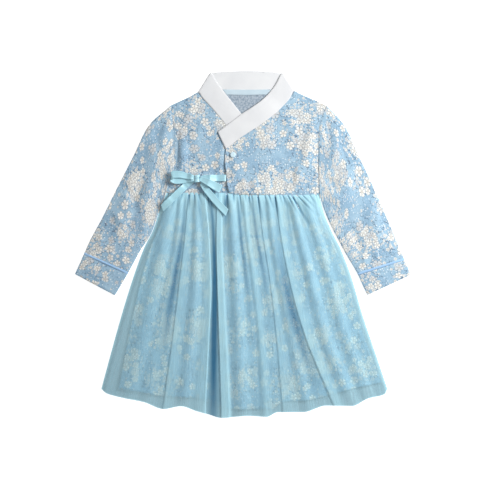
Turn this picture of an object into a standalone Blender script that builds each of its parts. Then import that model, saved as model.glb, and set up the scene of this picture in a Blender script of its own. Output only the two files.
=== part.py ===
"""A child's one-piece hanbok dress, laid flat with its front up.

The tables are in millimetres and Blender works in metres. +Z is up, +Y runs from the hem to
the collar, and +X is the wearer's left. The dress lies on Z = 0, with its panels on each
other: a crossed bodice, two sleeves, a white collar band, and a gathered tulle skirt over a
printed one. Heights named ..._Z are of the middle of a wall.
"""

import collections
import math

import bmesh
import bpy
import numpy as np
from mathutils import Vector

NAME = "korean_hanbok"
MM = 0.001

# Walls and gaps.
GAP = 0.3
CLOTH = 1.2
TULLE = 1.0
BAND = 1.4
RIBBON = 1.0

# Driving sizes.
COLLAR_FOLD_GAP = 0.5
PIPING = 1.6
SEAM_REACH = 0.8
SIDE_DROP = 4
SLEEVE_FOLD_RADIUS = 1.0
SNAP_RADIUS = 4.5
SNAP_THICKNESS = 1.2
TAPE = 1.0

# How the layers lie on each other.
BACK_Z = CLOTH / 2
FRONT_UNDER_Z = BACK_Z + CLOTH + GAP
BAND_BACK_Z = BAND / 2
BAND_UNDER_Z = BAND_BACK_Z + BAND + COLLAR_FOLD_GAP
BAND_OVER_Z = BAND_UNDER_Z + BAND + GAP + 0.1
FRONT_OVER_Z = BAND_UNDER_Z + BAND / 2 + GAP + CLOTH / 2
TULLE_BACK_Z = TULLE / 2
SKIRT_BACK_Z = TULLE + GAP + CLOTH / 2
SKIRT_FRONT_Z = SKIRT_BACK_Z + CLOTH + GAP
TULLE_FRONT_Z = SKIRT_FRONT_Z + CLOTH / 2 + GAP + TULLE / 2
TULLE_SIDE_Z = TULLE + GAP + TULLE / 2


def table(columns, *rows):
    row = collections.namedtuple("Row", columns)
    return [row(*values) for values in rows]


# The waist seam, which sags a little under the crossed front.
WAIST = table(
    "x y",
    (-123, 83.6),
    (-70, 83.8),
    (-24, 83.2),
    (-10, 80.8),
    (94, 80.2),
    (124, 81.8),
)

# Armhole seams from the waist to the shoulder. The right one runs out to the underarm.
ARMHOLE_RIGHT = table(
    "x y",
    (-122.3, 83.6),
    (-120, 106),
    (-111, 120),
    (-109, 138),
    (-109.6, 158),
    (-112, 195),
    (-116, 222.5),
)
ARMHOLE_LEFT = table(
    "x y",
    (122.2, 81.8),
    (120.4, 110),
    (120, 139),
    (120.3, 162),
    (122.2, 190),
    (126.4, 206),
    (134.2, 222.5),
)
UNDERARM_RIGHT = 1

# Shoulder seams, from the armhole to the collar.
SHOULDER_RIGHT = table("x y", (-116, 222.5), (-102, 229), (-86, 236.5), (-72.5, 244))
SHOULDER_LEFT = table("x y", (134.2, 222.5), (118, 230), (100, 237.5), (82.6, 246))

# Free edge and seam edge of the collar band, section by section.
UNDER_BAND = table(
    "free_x free_y seam_x seam_y z",
    (27, 170, 4, 151, BAND_UNDER_Z),
    (12, 189.5, -11, 170, BAND_UNDER_Z),
    (-3.5, 210.5, -27, 191.5, BAND_UNDER_Z),
    (-17, 227.5, -41, 209, BAND_UNDER_Z),
    (-31.5, 246, -56, 226, BAND_UNDER_Z),
    (-42, 260.5, -65.5, 236.5, BAND_UNDER_Z),
)
RIGHT_FOLD = table("free_x free_y seam_x seam_y", (-53, 275, -72.5, 244))
BACK_BAND = table(
    "free_x free_y seam_x seam_y z",
    (-40, 276.2, -55, 245, BAND_BACK_Z),
    (-18, 277.6, -26, 244.4, BAND_BACK_Z),
    (6, 278.4, 5, 244.2, BAND_BACK_Z),
    (30, 277.8, 38, 244.6, BAND_BACK_Z),
    (50, 276.2, 64, 245.4, BAND_BACK_Z),
)
LEFT_FOLD = table("free_x free_y seam_x seam_y", (64.6, 274.4, 82.6, 246))
OVER_BAND = table(
    "free_x free_y seam_x seam_y z",
    (52, 256, 75, 235, BAND_UNDER_Z),
    (42, 243, 64, 222.6, BAND_UNDER_Z + 0.2),
    (30.5, 231.5, 50, 209, BAND_UNDER_Z + 1.2),
    (14, 219.5, 31, 194.8, BAND_OVER_Z),
    (-2.5, 208.8, 14.5, 183.4, BAND_OVER_Z),
    (-22, 194, -5, 171, BAND_OVER_Z),
    (-40, 180.6, -27.4, 153.6, BAND_OVER_Z),
)

# Front edges of the crossed bodice, from the waist up.
OVER_EDGE = table(
    "x y", (-21.6, 83), (-25.4, 99), (-27, 116), (-29, 137), (-27.6, 153.2)
)
UNDER_EDGE = table("x y", (21, 81), (17, 108), (11, 130), (4.2, 150.6))
# The over panel lies high where the under panel and its collar are beneath it.
LAPPED_TO_X = 30
LAP_RUN = 32

# Sides of the tulle skirt and how far in the printed skirt's sides are.
SKIRT_SIDES = table(
    "y right_x left_x right_inset left_inset",
    (82.5, -122.4, 121.8, 5, 5),
    (56, -132.8, 127.8, 6, 6),
    (22, -144.2, 142, 8, 7),
    (-4, -157.5, 155.2, 10, 8),
    (-48, -173.9, 172.4, 13, 8),
    (-108, -192.8, 190, 18, 9),
    (-169, -210, 210.4, 23, 9),
    (-230, -226.5, 231, 28, 10),
)
TULLE_HEM = table(
    "x y",
    (-226.5, -230),
    (-218, -237),
    (-190, -244.5),
    (-158, -251),
    (-127, -262),
    (-99, -257.5),
    (-75, -265),
    (-54, -270.8),
    (-35, -276),
    (7, -273),
    (38, -274.4),
    (56, -267),
    (95, -267),
    (134, -256.5),
    (174, -257),
    (200, -245),
    (226, -238.5),
    (231, -230),
)
PRINTED_HEM = table(
    "x y",
    (-198.5, -229),
    (-168, -233.6),
    (-132, -241),
    (-76, -244.2),
    (-18, -262),
    (43, -262.4),
    (66, -250),
    (100, -248),
    (176, -229),
    (221, -219.5),
)

# Ridges of the gathered tulle: where each one runs, and its half width and height.
TULLE_FOLDS = table(
    "waist_x middle_x hem_x waist_width hem_width waist_height hem_height",
    (-108, -140, -186, 9, 26, 1.4, 2.6),
    (-86, -106, -126, 8, 22, 2.6, 6.0),
    (-68, -78, -88, 7, 18, 2.2, 2.8),
    (-60, -55, -58, 6, 13, 2.4, 7.0),
    (-47, -42, -33, 6, 14, 2.6, 7.4),
    (-26, -14, -6, 8, 20, 2.2, 3.4),
    (-5, 16, 39, 7, 17, 2.8, 6.6),
    (15, 38, 64, 7, 16, 2.0, 2.6),
    (34, 58, 92, 8, 18, 2.4, 4.4),
    (51, 84, 140, 7, 18, 3.0, 6.2),
    (70, 108, 170, 7, 18, 2.4, 3.2),
    (88, 132, 198, 8, 20, 3.0, 4.2),
    (108, 152, 214, 9, 14, 1.6, 2.0),
)
WAIST_Y, MIDDLE_Y, HEM_Y = 82, -70, -262

# Sleeves from the armhole to the cuff seam: both folded edges, and the rise of the top layer.
SLEEVE_RIGHT = table(
    "outer_x outer_y inner_x inner_y puff",
    (-116.4, 222.4, -120.6, 106.2, 0.4),
    (-150, 192, -126.2, 80, 1.4),
    (-177, 139, -136.1, 51, 1.8),
    (-203, 88, -148.4, 17, 1.8),
    (-225.5, 43, -163.5, -8, 1.8),
    (-246.5, 4, -177, -33, 1.6),
    (-253.5, -12, -183, -44, 1.2),
)
SLEEVE_LEFT = table(
    "outer_x outer_y inner_x inner_y puff",
    (134.6, 222.4, 122.8, 82, 0.4),
    (162, 192, 130.6, 56, 1.4),
    (184.5, 146, 139.5, 34, 1.8),
    (206.5, 98, 151.5, 10, 1.8),
    (228, 50, 163, -12, 1.8),
    (247.5, 3, 175.5, -33, 1.6),
    (257.5, -21, 182.5, -45, 1.2),
)
# Cuffs, from their seam to their open end.
CUFF_RIGHT = table(
    "outer_x outer_y inner_x inner_y puff",
    (-254.6, -14.6, -184.4, -46.6, 1.2),
    (-262, -31, -194.4, -63.6, 1.4),
    (-268.6, -46, -204.4, -80.4, 1.4),
)
CUFF_LEFT = table(
    "outer_x outer_y inner_x inner_y puff",
    (258.6, -23.8, 183.8, -47.8, 1.2),
    (264, -36, 191, -64, 1.4),
    (268.6, -47, 198.6, -79.6, 1.4),
)

# Large soft folds of the bodice and sleeves, as ridges from one point to another.
SOFT_FOLDS = table(
    "start_x start_y end_x end_y width height",
    (-98, 176, -99, 112, 9, 1.6),
    (112, 212, 106, 118, 12, 2.2),
    (-178, 118, -206, -4, 15, 1.2),
    (-140, 178, -150, 108, 14, 1.2),
    (176, 138, 162, 52, 14, 1.2),
    (206, 74, 226, -8, 15, 1.2),
)

# The bow at the wearer's right. Each ribbon is its middle line with a width.
TIE = table("x y width lift", (-29.2, 106.6, 10, 0), (-48, 106.8, 10, 0), (-65, 106.8, 8, 0))
TAIL_RIGHT = table(
    "x y width lift",
    (-80.4, 103, 7, 0),
    (-92, 94, 9.5, 0),
    (-111, 76, 10, 0),
    (-129, 58.6, 10, 0),
)
TAIL_LEFT = table(
    "x y width lift",
    (-66.4, 98.6, 6, 0),
    (-57, 86.5, 9.5, 0),
    (-42, 68.6, 10, 0),
    (-25.6, 51.6, 10, 0),
)
LOOP_RIGHT = table(
    "x y width lift",
    (-80.6, 105.2, 5, 0),
    (-94, 103.8, 8.5, 0),
    (-107, 103.6, 10, 0),
    (-114, 106.4, 10.4, 1.0),
    (-116, 109.4, 10.4, 2.4),
    (-113, 112, 10.4, 3.6),
    (-104, 112.2, 10, 3.8),
    (-93, 110.2, 8.5, 3.2),
    (-80.6, 108, 5, 2.2),
)
LOOP_LEFT = table(
    "x y width lift",
    (-66.4, 104, 6, 0),
    (-52, 97.4, 9.5, 0),
    (-40, 91.4, 10.4, 0),
    (-36.6, 89.8, 10.4, 1.2),
    (-39.6, 91.2, 10.4, 2.4),
    (-52, 97.6, 9.5, 2.8),
    (-66.4, 104.6, 6, 2.0),
)
KNOT_X, KNOT_Y = -73.4, 105.6
KNOT_SIZE = (11, 12, 5.4)
SNAP_X, SNAP_Y = -16, 144
TAPE_LOW_Y, TAPE_HIGH_Y = 240.4, 248.4

BLUE_PRINT = (0.45, 0.6, 0.78)
WHITE_COTTON = (0.83, 0.83, 0.84)
BLUE_TULLE = (0.3, 0.55, 0.68)
BLUE_PIPING = (0.4, 0.6, 0.78)
BLUE_TAPE = (0.5, 0.72, 0.8)
CYAN_SATIN = (0.36, 0.7, 0.78)


# Curves and surfaces in millimetres.


def hermite(keys, values, at):
    """The value at a key, on a smooth curve through every key's value."""
    keys, values = np.asarray(keys, float), np.asarray(values, float)
    sign = 1 if keys[-1] > keys[0] else -1
    i = int(np.clip(np.searchsorted(sign * keys, sign * at) - 1, 0, len(keys) - 2))
    steps = np.diff(keys)
    slopes = (np.diff(values, axis=0).T / steps).T
    before = np.concatenate([slopes[:1], slopes])
    after = np.concatenate([slopes, slopes[-1:]])
    # The harmonic mean, or 0 at a turn, keeps the curve from overshooting its rows.
    product = before * after
    tangents = np.where(product > 0, 2 * product / np.where(product > 0, before + after, 1), 0)
    t = float(np.clip((at - keys[i]) / steps[i], 0, 1))
    near = values[i] * (1 + 2 * t) * (1 - t) ** 2 + values[i + 1] * t * t * (3 - 2 * t)
    bend = tangents[i] * t * (1 - t) ** 2 - tangents[i + 1] * t * t * (1 - t)
    return near + bend * steps[i]


def column(rows, key, name, at):
    """A column's value where another column, which only rises or only falls, has this value."""
    return float(
        hermite([getattr(r, key) for r in rows], [getattr(r, name) for r in rows], at)
    )


def edge(rows, names=("x", "y"), move=(0, 0)):
    """A smooth curve through the rows' points, as a function of 0 to 1 by length."""
    points = np.array([[getattr(r, name) for name in names] for r in rows], float)
    points[:, :2] += move
    lengths = np.linalg.norm(np.diff(points, axis=0), axis=1)
    keys = np.concatenate([[0], np.cumsum(lengths)]) / lengths.sum()
    return lambda t: hermite(keys, points, t)


def joined(first, second, split):
    """Two edges that share a corner, run together, with the corner at split."""
    return lambda t: first(t / split) if t <= split else second((t - split) / (1 - split))


def backwards(curve):
    return lambda t: curve(1 - t)


def bow_of(curve):
    """How far a curve stands off the straight line between its ends."""
    return lambda t: curve(t) - (1 - t) * curve(0) - t * curve(1)


def patch(bottom, top, left, right):
    """The point at (s, t) of a sheet from bottom to top, whose sides bow as left and right do."""
    left_bow, right_bow = bow_of(left), bow_of(right)

    def point(s, t):
        ruled = (1 - t) * bottom(s) + t * top(s)
        return ruled + (1 - s) * left_bow(t) + s * right_bow(t)

    return point


def ease(t):
    t = min(max(t, 0), 1)
    return t * t * (3 - 2 * t)


def bump(distance, half_width):
    """A soft ridge's height, from 1 on its line to 0 at its half width."""
    share = min(abs(distance) / half_width, 1)
    return (1 + math.cos(math.pi * share)) / 2


def waist_y(x):
    return column(WAIST, "x", "y", min(max(x, WAIST[0].x), WAIST[-1].x))


def waist_line(start_x, end_x, shift):
    """Part of the waist seam, moved up or down by half the gap there."""

    def point(s):
        x = start_x + (end_x - start_x) * s
        return np.array([x, waist_y(x) + shift])

    return point


def soft_folds(x, y):
    """How far the large folds lift a bodice or sleeve point."""
    lift = 0
    for fold in SOFT_FOLDS:
        start = np.array([fold.start_x, fold.start_y])
        run = np.array([fold.end_x, fold.end_y]) - start
        along = float(np.dot([x, y] - start, run) / np.dot(run, run))
        nearest = start + run * min(max(along, 0), 1)
        away = math.hypot(x - nearest[0], y - nearest[1])
        lift += fold.height * bump(away, fold.width) * math.sin(math.pi * min(max(along, 0), 1))
    return lift


def tulle_folds(x, y):
    """How far the gathers lift a point of the tulle's front."""
    down = (WAIST_Y - y) / (WAIST_Y - HEM_Y)
    down = min(max(down, 0), 1)
    middle = (WAIST_Y - MIDDLE_Y) / (WAIST_Y - HEM_Y)
    lift = 0
    for fold in TULLE_FOLDS:
        centre = hermite([0, middle, 1], [fold.waist_x, fold.middle_x, fold.hem_x], down)
        width = fold.waist_width + (fold.hem_width - fold.waist_width) * down
        height = fold.waist_height + (fold.hem_height - fold.waist_height) * down
        lift += height * bump(x - centre, width)
    return lift


# Blender objects.

for old in list(bpy.data.objects):
    bpy.data.objects.remove(old, do_unlink=True)
garment = bpy.data.collections.new(NAME)
bpy.context.scene.collection.children.link(garment)
root = bpy.data.objects.new(NAME + "_root", None)
garment.objects.link(root)


def finish(node, bm, colour, roughness):
    mesh = bpy.data.meshes.new(node)
    bm.normal_update()
    bm.to_mesh(mesh)
    bm.free()
    mesh.shade_smooth()
    mesh.set_sharp_from_angle(angle=math.radians(50))
    material = bpy.data.materials.new(node)
    material.use_nodes = True
    shader = material.node_tree.nodes["Principled BSDF"]
    shader.inputs["Base Color"].default_value = (*colour, 1)
    shader.inputs["Roughness"].default_value = roughness
    shader.inputs["Metallic"].default_value = 0
    mesh.materials.append(material)
    made = bpy.data.objects.new(node, mesh)
    made.parent = root
    garment.objects.link(made)
    return made


def thicken(made, wall):
    shell = made.modifiers.new("wall", "SOLIDIFY")
    shell.thickness = wall * MM
    shell.offset = 0


def sheet(node, point, columns, rows, wall, colour, roughness=0.85):
    """A wall whose middle runs through point(s, t), in millimetres."""
    bm = bmesh.new()
    bmesh.ops.create_grid(bm, x_segments=columns, y_segments=rows, size=1)
    for vert in bm.verts:
        vert.co = Vector(point((vert.co.x + 1) / 2, (vert.co.y + 1) / 2)) * MM
    made = finish(node, bm, colour, roughness)
    thicken(made, wall)
    return made


def tube(node, ring_point, around, along, wall, colour, roughness=0.85):
    """A wall round a tube that is open at both ends, through ring_point(i, v) for i of around."""
    bm = bmesh.new()
    bmesh.ops.create_grid(bm, x_segments=around, y_segments=along, size=1)
    for vert in bm.verts:
        i = round((vert.co.x + 1) / 2 * around) % around
        vert.co = Vector(ring_point(i, (vert.co.y + 1) / 2)) * MM
    bmesh.ops.remove_doubles(bm, verts=bm.verts, dist=1e-6)
    bmesh.ops.recalc_face_normals(bm, faces=bm.faces)
    made = finish(node, bm, colour, roughness)
    thicken(made, wall)
    return made


# The bodice.


def neck_edge(rows, move):
    return edge(rows, ("seam_x", "seam_y"), move)


def back_bodice():
    neckline = neck_edge(RIGHT_FOLD + BACK_BAND + LEFT_FOLD, (0, -2 * GAP))
    shoulder_right = edge(SHOULDER_RIGHT, move=(0, -2 * GAP))
    shoulder_left = backwards(edge(SHOULDER_LEFT, move=(0, -2 * GAP)))
    top = joined(joined(shoulder_right, neckline, 0.25), shoulder_left, 0.8)
    outline = patch(
        waist_line(ARMHOLE_RIGHT[0].x, ARMHOLE_LEFT[0].x, GAP / 2),
        top,
        edge(ARMHOLE_RIGHT),
        edge(ARMHOLE_LEFT),
    )
    sheet("back_bodice", lambda s, t: (*outline(s, t), BACK_Z), 16, 6, CLOTH, BLUE_PRINT)


def front_under():
    shoulder = edge(SHOULDER_RIGHT, move=(0, -GAP))
    neckline = neck_edge(RIGHT_FOLD + UNDER_BAND[::-1], (-GAP, -GAP))
    outline = patch(
        waist_line(ARMHOLE_RIGHT[0].x, UNDER_EDGE[0].x, GAP / 2),
        joined(shoulder, neckline, 0.3),
        edge(ARMHOLE_RIGHT),
        edge(UNDER_EDGE),
    )

    def point(s, t):
        x, y = outline(s, t)
        return x, y, FRONT_UNDER_Z + soft_folds(x, y)

    sheet("front_bodice_right", point, 12, 10, CLOTH, BLUE_PRINT)


def over_z(x):
    """The over panel comes down onto the back panel past the end of the under one."""
    down = ease((x - LAPPED_TO_X) / LAP_RUN)
    return FRONT_OVER_Z + (FRONT_UNDER_Z - FRONT_OVER_Z) * down


def front_over():
    neckline = neck_edge(OVER_BAND[::-1] + LEFT_FOLD, (GAP, -GAP))
    shoulder = backwards(edge(SHOULDER_LEFT, move=(0, -GAP)))
    outline = patch(
        waist_line(OVER_EDGE[0].x, ARMHOLE_LEFT[0].x, GAP / 2),
        joined(neckline, shoulder, 0.7),
        edge(OVER_EDGE),
        edge(ARMHOLE_LEFT),
    )

    def point(s, t):
        x, y = outline(s, t)
        return x, y, over_z(x) + soft_folds(x, y)

    sheet("front_bodice_left", point, 16, 9, CLOTH, BLUE_PRINT)


# The collar is one band, folded at both shoulders.


def fold_sections(fold, low_z, high_z, outward):
    """The band's three sections round a shoulder fold, from its low side to its high side."""
    radius = (high_z - low_z) / 2
    sections = []
    for inset, z in ((radius, low_z), (0, low_z + radius), (radius, high_z)):
        shift = -outward * (inset + BAND / 2)
        sections.append((fold.free_x + shift, fold.free_y, fold.seam_x + shift, fold.seam_y, z))
    return sections


def run_of(rows):
    """A stretch of the band as close sections on a smooth curve through its rows."""
    steps = 2 * (len(rows) - 1)
    return [tuple(hermite(range(len(rows)), rows, i / 2)) for i in range(steps + 1)]


def collar_band():
    sections = run_of(UNDER_BAND)
    sections += fold_sections(RIGHT_FOLD[0], BAND_BACK_Z, BAND_UNDER_Z, -1)[::-1]
    sections += run_of(BACK_BAND)
    sections += fold_sections(LEFT_FOLD[0], BAND_BACK_Z, BAND_UNDER_Z, 1)
    sections += run_of(OVER_BAND)
    last = len(sections) - 1

    def point(s, t):
        free_x, free_y, seam_x, seam_y, z = sections[round(s * last)]
        return free_x + (seam_x - free_x) * t, free_y + (seam_y - free_y) * t, z

    sheet("collar_band", point, last, 2, BAND, WHITE_COTTON, 0.8)


def neck_tape():
    z = BAND_BACK_Z + BAND / 2 + GAP + TAPE / 2
    low = table("x y", (-26, TAPE_LOW_Y), (6, TAPE_LOW_Y - 0.6), (37.4, TAPE_LOW_Y))
    high = table("x y", (-32, TAPE_HIGH_Y), (6, TAPE_HIGH_Y - 0.6), (44.4, TAPE_HIGH_Y))
    outline = patch(
        edge(low), edge(high), edge([low[0], high[0]]), edge([low[-1], high[-1]])
    )
    sheet("neck_tape", lambda s, t: (*outline(s, t), z), 8, 1, TAPE, BLUE_TAPE, 0.7)


# Sleeves and cuffs are flattened tubes.

RING_TOP, RING_BOTTOM = 6, 4
RING = RING_TOP + RING_BOTTOM + 4


def ring_of(width, wall, puff):
    """The middle of a flattened tube's wall: distance across and height, round from its outer
    edge over the top."""
    radius = SLEEVE_FOLD_RADIUS
    low_z = wall / 2
    inset = wall / 2 + radius
    ring = []
    for i in range(RING_TOP + 1):
        share = i / RING_TOP
        rise = puff * math.sin(math.pi * share) ** 0.7 if 0 < i < RING_TOP else 0
        ring.append((inset + (width - 2 * inset) * share, low_z + 2 * radius + rise))
    ring.append((width - wall / 2, low_z + radius))
    for i in range(RING_BOTTOM + 1):
        share = 1 - i / RING_BOTTOM
        ring.append((inset + (width - 2 * inset) * share, low_z))
    ring.append((wall / 2, low_z + radius))
    return ring


def flattened(node, rows, along, wall, colour, seam=None, lift=None):
    """A flattened tube through the rows' folded edges. Its first end follows the curve seam,
    which runs from the outer edge to the inner one."""
    outer = [(r.outer_x, r.outer_y) for r in rows]
    inner = [(r.inner_x, r.inner_y) for r in rows]
    puff = [r.puff for r in rows]
    keys = range(len(rows))
    last = len(rows) - 1

    def ring_point(i, v):
        start, end = hermite(keys, outer, v * last), hermite(keys, inner, v * last)
        width = np.linalg.norm(end - start)
        across, z = ring_of(width, wall, hermite(keys, puff, v * last))[i]
        share = across / width
        x, y = start + (end - start) * share
        if seam is not None:
            straight = (1 - share) * np.array(outer[0]) + share * np.array(inner[0])
            x, y = (x, y) + (seam(share) - straight) * (1 - v) ** 2
        if lift is not None and 0 < i < RING_TOP:
            z += lift(x, y) * math.sin(math.pi * i / RING_TOP)
        return x, y, z

    tube(node, ring_point, RING, along, wall, colour)


def sleeves():
    right_seam = backwards(edge(ARMHOLE_RIGHT[UNDERARM_RIGHT:], move=(-SEAM_REACH, 0)))
    left_seam = backwards(edge(ARMHOLE_LEFT, move=(SEAM_REACH, 0)))
    flattened("sleeve_right", SLEEVE_RIGHT, 12, CLOTH, BLUE_PRINT, right_seam, soft_folds)
    flattened("sleeve_left", SLEEVE_LEFT, 12, CLOTH, BLUE_PRINT, left_seam, soft_folds)


def between(last, first, share):
    """A row part of the way from the sleeve's last row to the cuff's first."""
    return type(first)(*(a + (b - a) * share for a, b in zip(last, first)))


def cuffs():
    for side, sleeve, cuff in (
        ("right", SLEEVE_RIGHT, CUFF_RIGHT),
        ("left", SLEEVE_LEFT, CUFF_LEFT),
    ):
        flattened("cuff_" + side, cuff, 2, CLOTH, BLUE_PRINT)
        room = math.dist(sleeve[-1][:2], cuff[0][:2])
        margin = GAP / room
        ring = [between(sleeve[-1], cuff[0], share) for share in (margin, 1 - margin)]
        flattened("cuff_piping_" + side, ring, 1, PIPING, BLUE_PIPING)


# The skirts.


def skirt_side(name, inset_name=None):
    """A side of the skirt from its waist to its hem, which stands in by an inset."""
    rows = []
    for row in SKIRT_SIDES:
        inset = getattr(row, inset_name) if inset_name else 0
        x = getattr(row, name)
        rows.append((x - math.copysign(inset, x), row.y))
    return table("x y", *rows)


def skirt_outline(hem, right, left):
    """The skirt between its waist and hem. t runs from the hem up."""
    right_side = [r for r in right if r.y > hem[0].y + 8] + [hem[0]]
    left_side = [r for r in left if r.y > hem[-1].y + 8] + [hem[-1]]
    return patch(
        edge(hem),
        waist_line(right[0].x, left[0].x, -1.5 * GAP),
        backwards(edge(right_side)),
        backwards(edge(left_side)),
    )


def printed_skirt():
    right = skirt_side("right_x", "right_inset")
    left = skirt_side("left_x", "left_inset")
    outline = skirt_outline(PRINTED_HEM, right, left)
    for side, z in (("back", SKIRT_BACK_Z), ("front", SKIRT_FRONT_Z)):
        sheet(
            "printed_skirt_" + side,
            lambda s, t, z=z: (*outline(s, t), z),
            16,
            6,
            CLOTH,
            BLUE_PRINT,
        )


def tulle_skirt():
    right, left = skirt_side("right_x"), skirt_side("left_x")
    outline = skirt_outline(TULLE_HEM, right, left)
    sheet(
        "tulle_skirt_back",
        lambda s, t: (*outline(s, t), TULLE_BACK_Z),
        20,
        7,
        TULLE,
        BLUE_TULLE,
    )
    columns = 56

    def front_point(s, t):
        width = np.linalg.norm(outline(1, t) - outline(0, t))
        margin = SIDE_DROP / width
        inner = min(max((s * columns - 1) / (columns - 2), 0), 1)
        s = s if s in (0, 1) else margin + inner * (1 - 2 * margin)
        x, y = outline(s, t)
        if s in (0, 1):
            return x, y, TULLE_SIDE_Z
        return x, y, TULLE_FRONT_Z + tulle_folds(x, y)

    sheet("tulle_skirt_front", front_point, columns, 12, TULLE, BLUE_TULLE)


# The ribbons lie on whatever is under them.


def height_under(x, y):
    """The top of the cloth at a place."""
    bpy.context.view_layer.update()
    graph = bpy.context.evaluated_depsgraph_get()
    above, down = Vector((x * MM, y * MM, 1)), Vector((0, 0, -1))
    hit, place, *_ = bpy.context.scene.ray_cast(graph, above, down)
    return place.z / MM if hit else 0


def ribbon(node, rows, steps):
    """A ribbon along the rows' middle line, held above what it crosses, with a slope limit."""
    path = edge(rows, ("x", "y", "width", "lift"))
    places = [path(i / steps) for i in range(steps + 1)]
    points = np.array([place[:2] for place in places])
    widths = np.array([place[2] for place in places])
    lifts = np.array([place[3] for place in places])
    ahead = np.gradient(points, axis=0)
    chord = points[np.argmax(np.linalg.norm(points - points[0], axis=1))] - points[0]
    ahead = np.where((ahead @ chord)[:, None] < 0, -ahead, ahead) + chord * 0.05
    ahead /= np.linalg.norm(ahead, axis=1)[:, None]
    step = np.linalg.norm(np.diff(points, axis=0), axis=1).max()
    across = np.stack([-ahead[:, 1], ahead[:, 0]], axis=1)
    under = np.array(
        [
            max(
                height_under(*(p + side * width * share + run * reach * step))
                for share in (-0.6, -0.3, 0, 0.3, 0.6)
                for reach in (-0.9, -0.45, 0, 0.45, 0.9)
            )
            for p, side, width, run in zip(points, across, widths, ahead)
        ]
    )
    gaps = np.linalg.norm(points[:, None] - points[None], axis=2)
    steepest = 0.6
    heights = (under[None] - steepest * gaps).max(axis=1) + GAP + RIBBON / 2 + lifts

    def point(s, t):
        i = round(s * steps)
        x, y = points[i] + across[i] * widths[i] * (t - 0.5)
        return x, y, heights[i]

    sheet(node, point, steps, 2, RIBBON, CYAN_SATIN, 0.35)


def bow():
    ribbon("tie_left", TIE, 4)
    ribbon("tie_tail_right", TAIL_RIGHT, 10)
    ribbon("tie_tail_left", TAIL_LEFT, 10)
    ribbon("bow_loop_right", LOOP_RIGHT, 16)
    ribbon("bow_loop_left", LOOP_LEFT, 14)
    bm = bmesh.new()
    bmesh.ops.create_cube(bm, size=1)
    for vert in bm.verts:
        vert.co = Vector(vert.co[i] * KNOT_SIZE[i] * MM for i in range(3))
    made = finish("bow_knot", bm, CYAN_SATIN, 0.35)
    rounding = made.modifiers.new("rounding", "BEVEL")
    rounding.width = 1.6 * MM
    rounding.segments = 3
    floor = max(
        height_under(KNOT_X + dx, KNOT_Y + dy) for dx in (-5, 0, 5) for dy in (-5.5, 0, 5.5)
    )
    made.location = Vector((KNOT_X, KNOT_Y, floor + GAP + KNOT_SIZE[2] / 2)) * MM


def snap():
    bm = bmesh.new()
    bmesh.ops.create_cone(
        bm,
        cap_ends=True,
        segments=24,
        radius1=SNAP_RADIUS * MM,
        radius2=SNAP_RADIUS * 0.8 * MM,
        depth=SNAP_THICKNESS * MM,
    )
    made = finish("snap_cap", bm, BLUE_TAPE, 0.4)
    floor = FRONT_OVER_Z + CLOTH / 2
    made.location = Vector((SNAP_X, SNAP_Y, floor + GAP + SNAP_THICKNESS / 2)) * MM


def centre():
    """Moves the dress so that its box stands on the origin."""
    bpy.context.view_layer.update()
    graph = bpy.context.evaluated_depsgraph_get()
    low, high = np.full(3, np.inf), np.full(3, -np.inf)
    for made in garment.objects:
        if made.type != "MESH":
            continue
        shown = made.evaluated_get(graph)
        mesh = shown.to_mesh()
        for vert in mesh.vertices:
            place = shown.matrix_world @ vert.co
            low, high = np.minimum(low, place), np.maximum(high, place)
        shown.to_mesh_clear()
    middle = (low + high) / 2
    root.location = (-middle[0], -middle[1], -low[2])


tulle_skirt()
printed_skirt()
back_bodice()
front_under()
front_over()
sleeves()
cuffs()
collar_band()
neck_tape()
bow()
snap()
centre()
bpy.context.view_layer.update()
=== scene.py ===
"""The looks of a child's hanbok dress, laid flat with its front up.

The tables are in millimetres and repeat the CAD model's, in its own axes: +X is the wearer's
left, +Y runs from the hem to the collar and +Z is up. Each sewn piece is a thin shell on its
solid's form, with its folds, seams and gathers, and takes a procedural cloth.
"""

import collections
import math

import bpy
import numpy as np
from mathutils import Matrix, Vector


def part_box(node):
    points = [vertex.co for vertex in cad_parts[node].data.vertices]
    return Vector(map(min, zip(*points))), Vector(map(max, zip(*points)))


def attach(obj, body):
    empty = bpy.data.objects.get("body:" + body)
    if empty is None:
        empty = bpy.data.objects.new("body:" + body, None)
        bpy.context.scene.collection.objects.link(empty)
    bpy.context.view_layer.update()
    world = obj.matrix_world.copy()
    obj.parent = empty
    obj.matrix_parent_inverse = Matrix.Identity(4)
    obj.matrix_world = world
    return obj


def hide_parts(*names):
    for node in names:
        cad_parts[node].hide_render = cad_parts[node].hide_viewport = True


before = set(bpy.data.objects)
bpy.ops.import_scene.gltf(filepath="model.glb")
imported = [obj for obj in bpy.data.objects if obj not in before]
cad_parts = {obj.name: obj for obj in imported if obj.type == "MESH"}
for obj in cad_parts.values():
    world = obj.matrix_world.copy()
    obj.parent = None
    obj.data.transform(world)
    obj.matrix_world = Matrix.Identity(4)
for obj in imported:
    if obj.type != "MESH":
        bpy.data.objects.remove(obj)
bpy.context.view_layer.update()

MM = 0.001

# Walls, as in the CAD model.
GAP = 0.3
CLOTH = 1.2
TULLE = 1.0
BAND = 1.4
RIBBON = 1.0
COLLAR_FOLD_GAP = 0.5
PIPING = 1.6
TAPE = 1.0
SLEEVE_FOLD_RADIUS = 1.0
# Half of what is left open at a sewn seam.
STITCHED = 0.1

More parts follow.
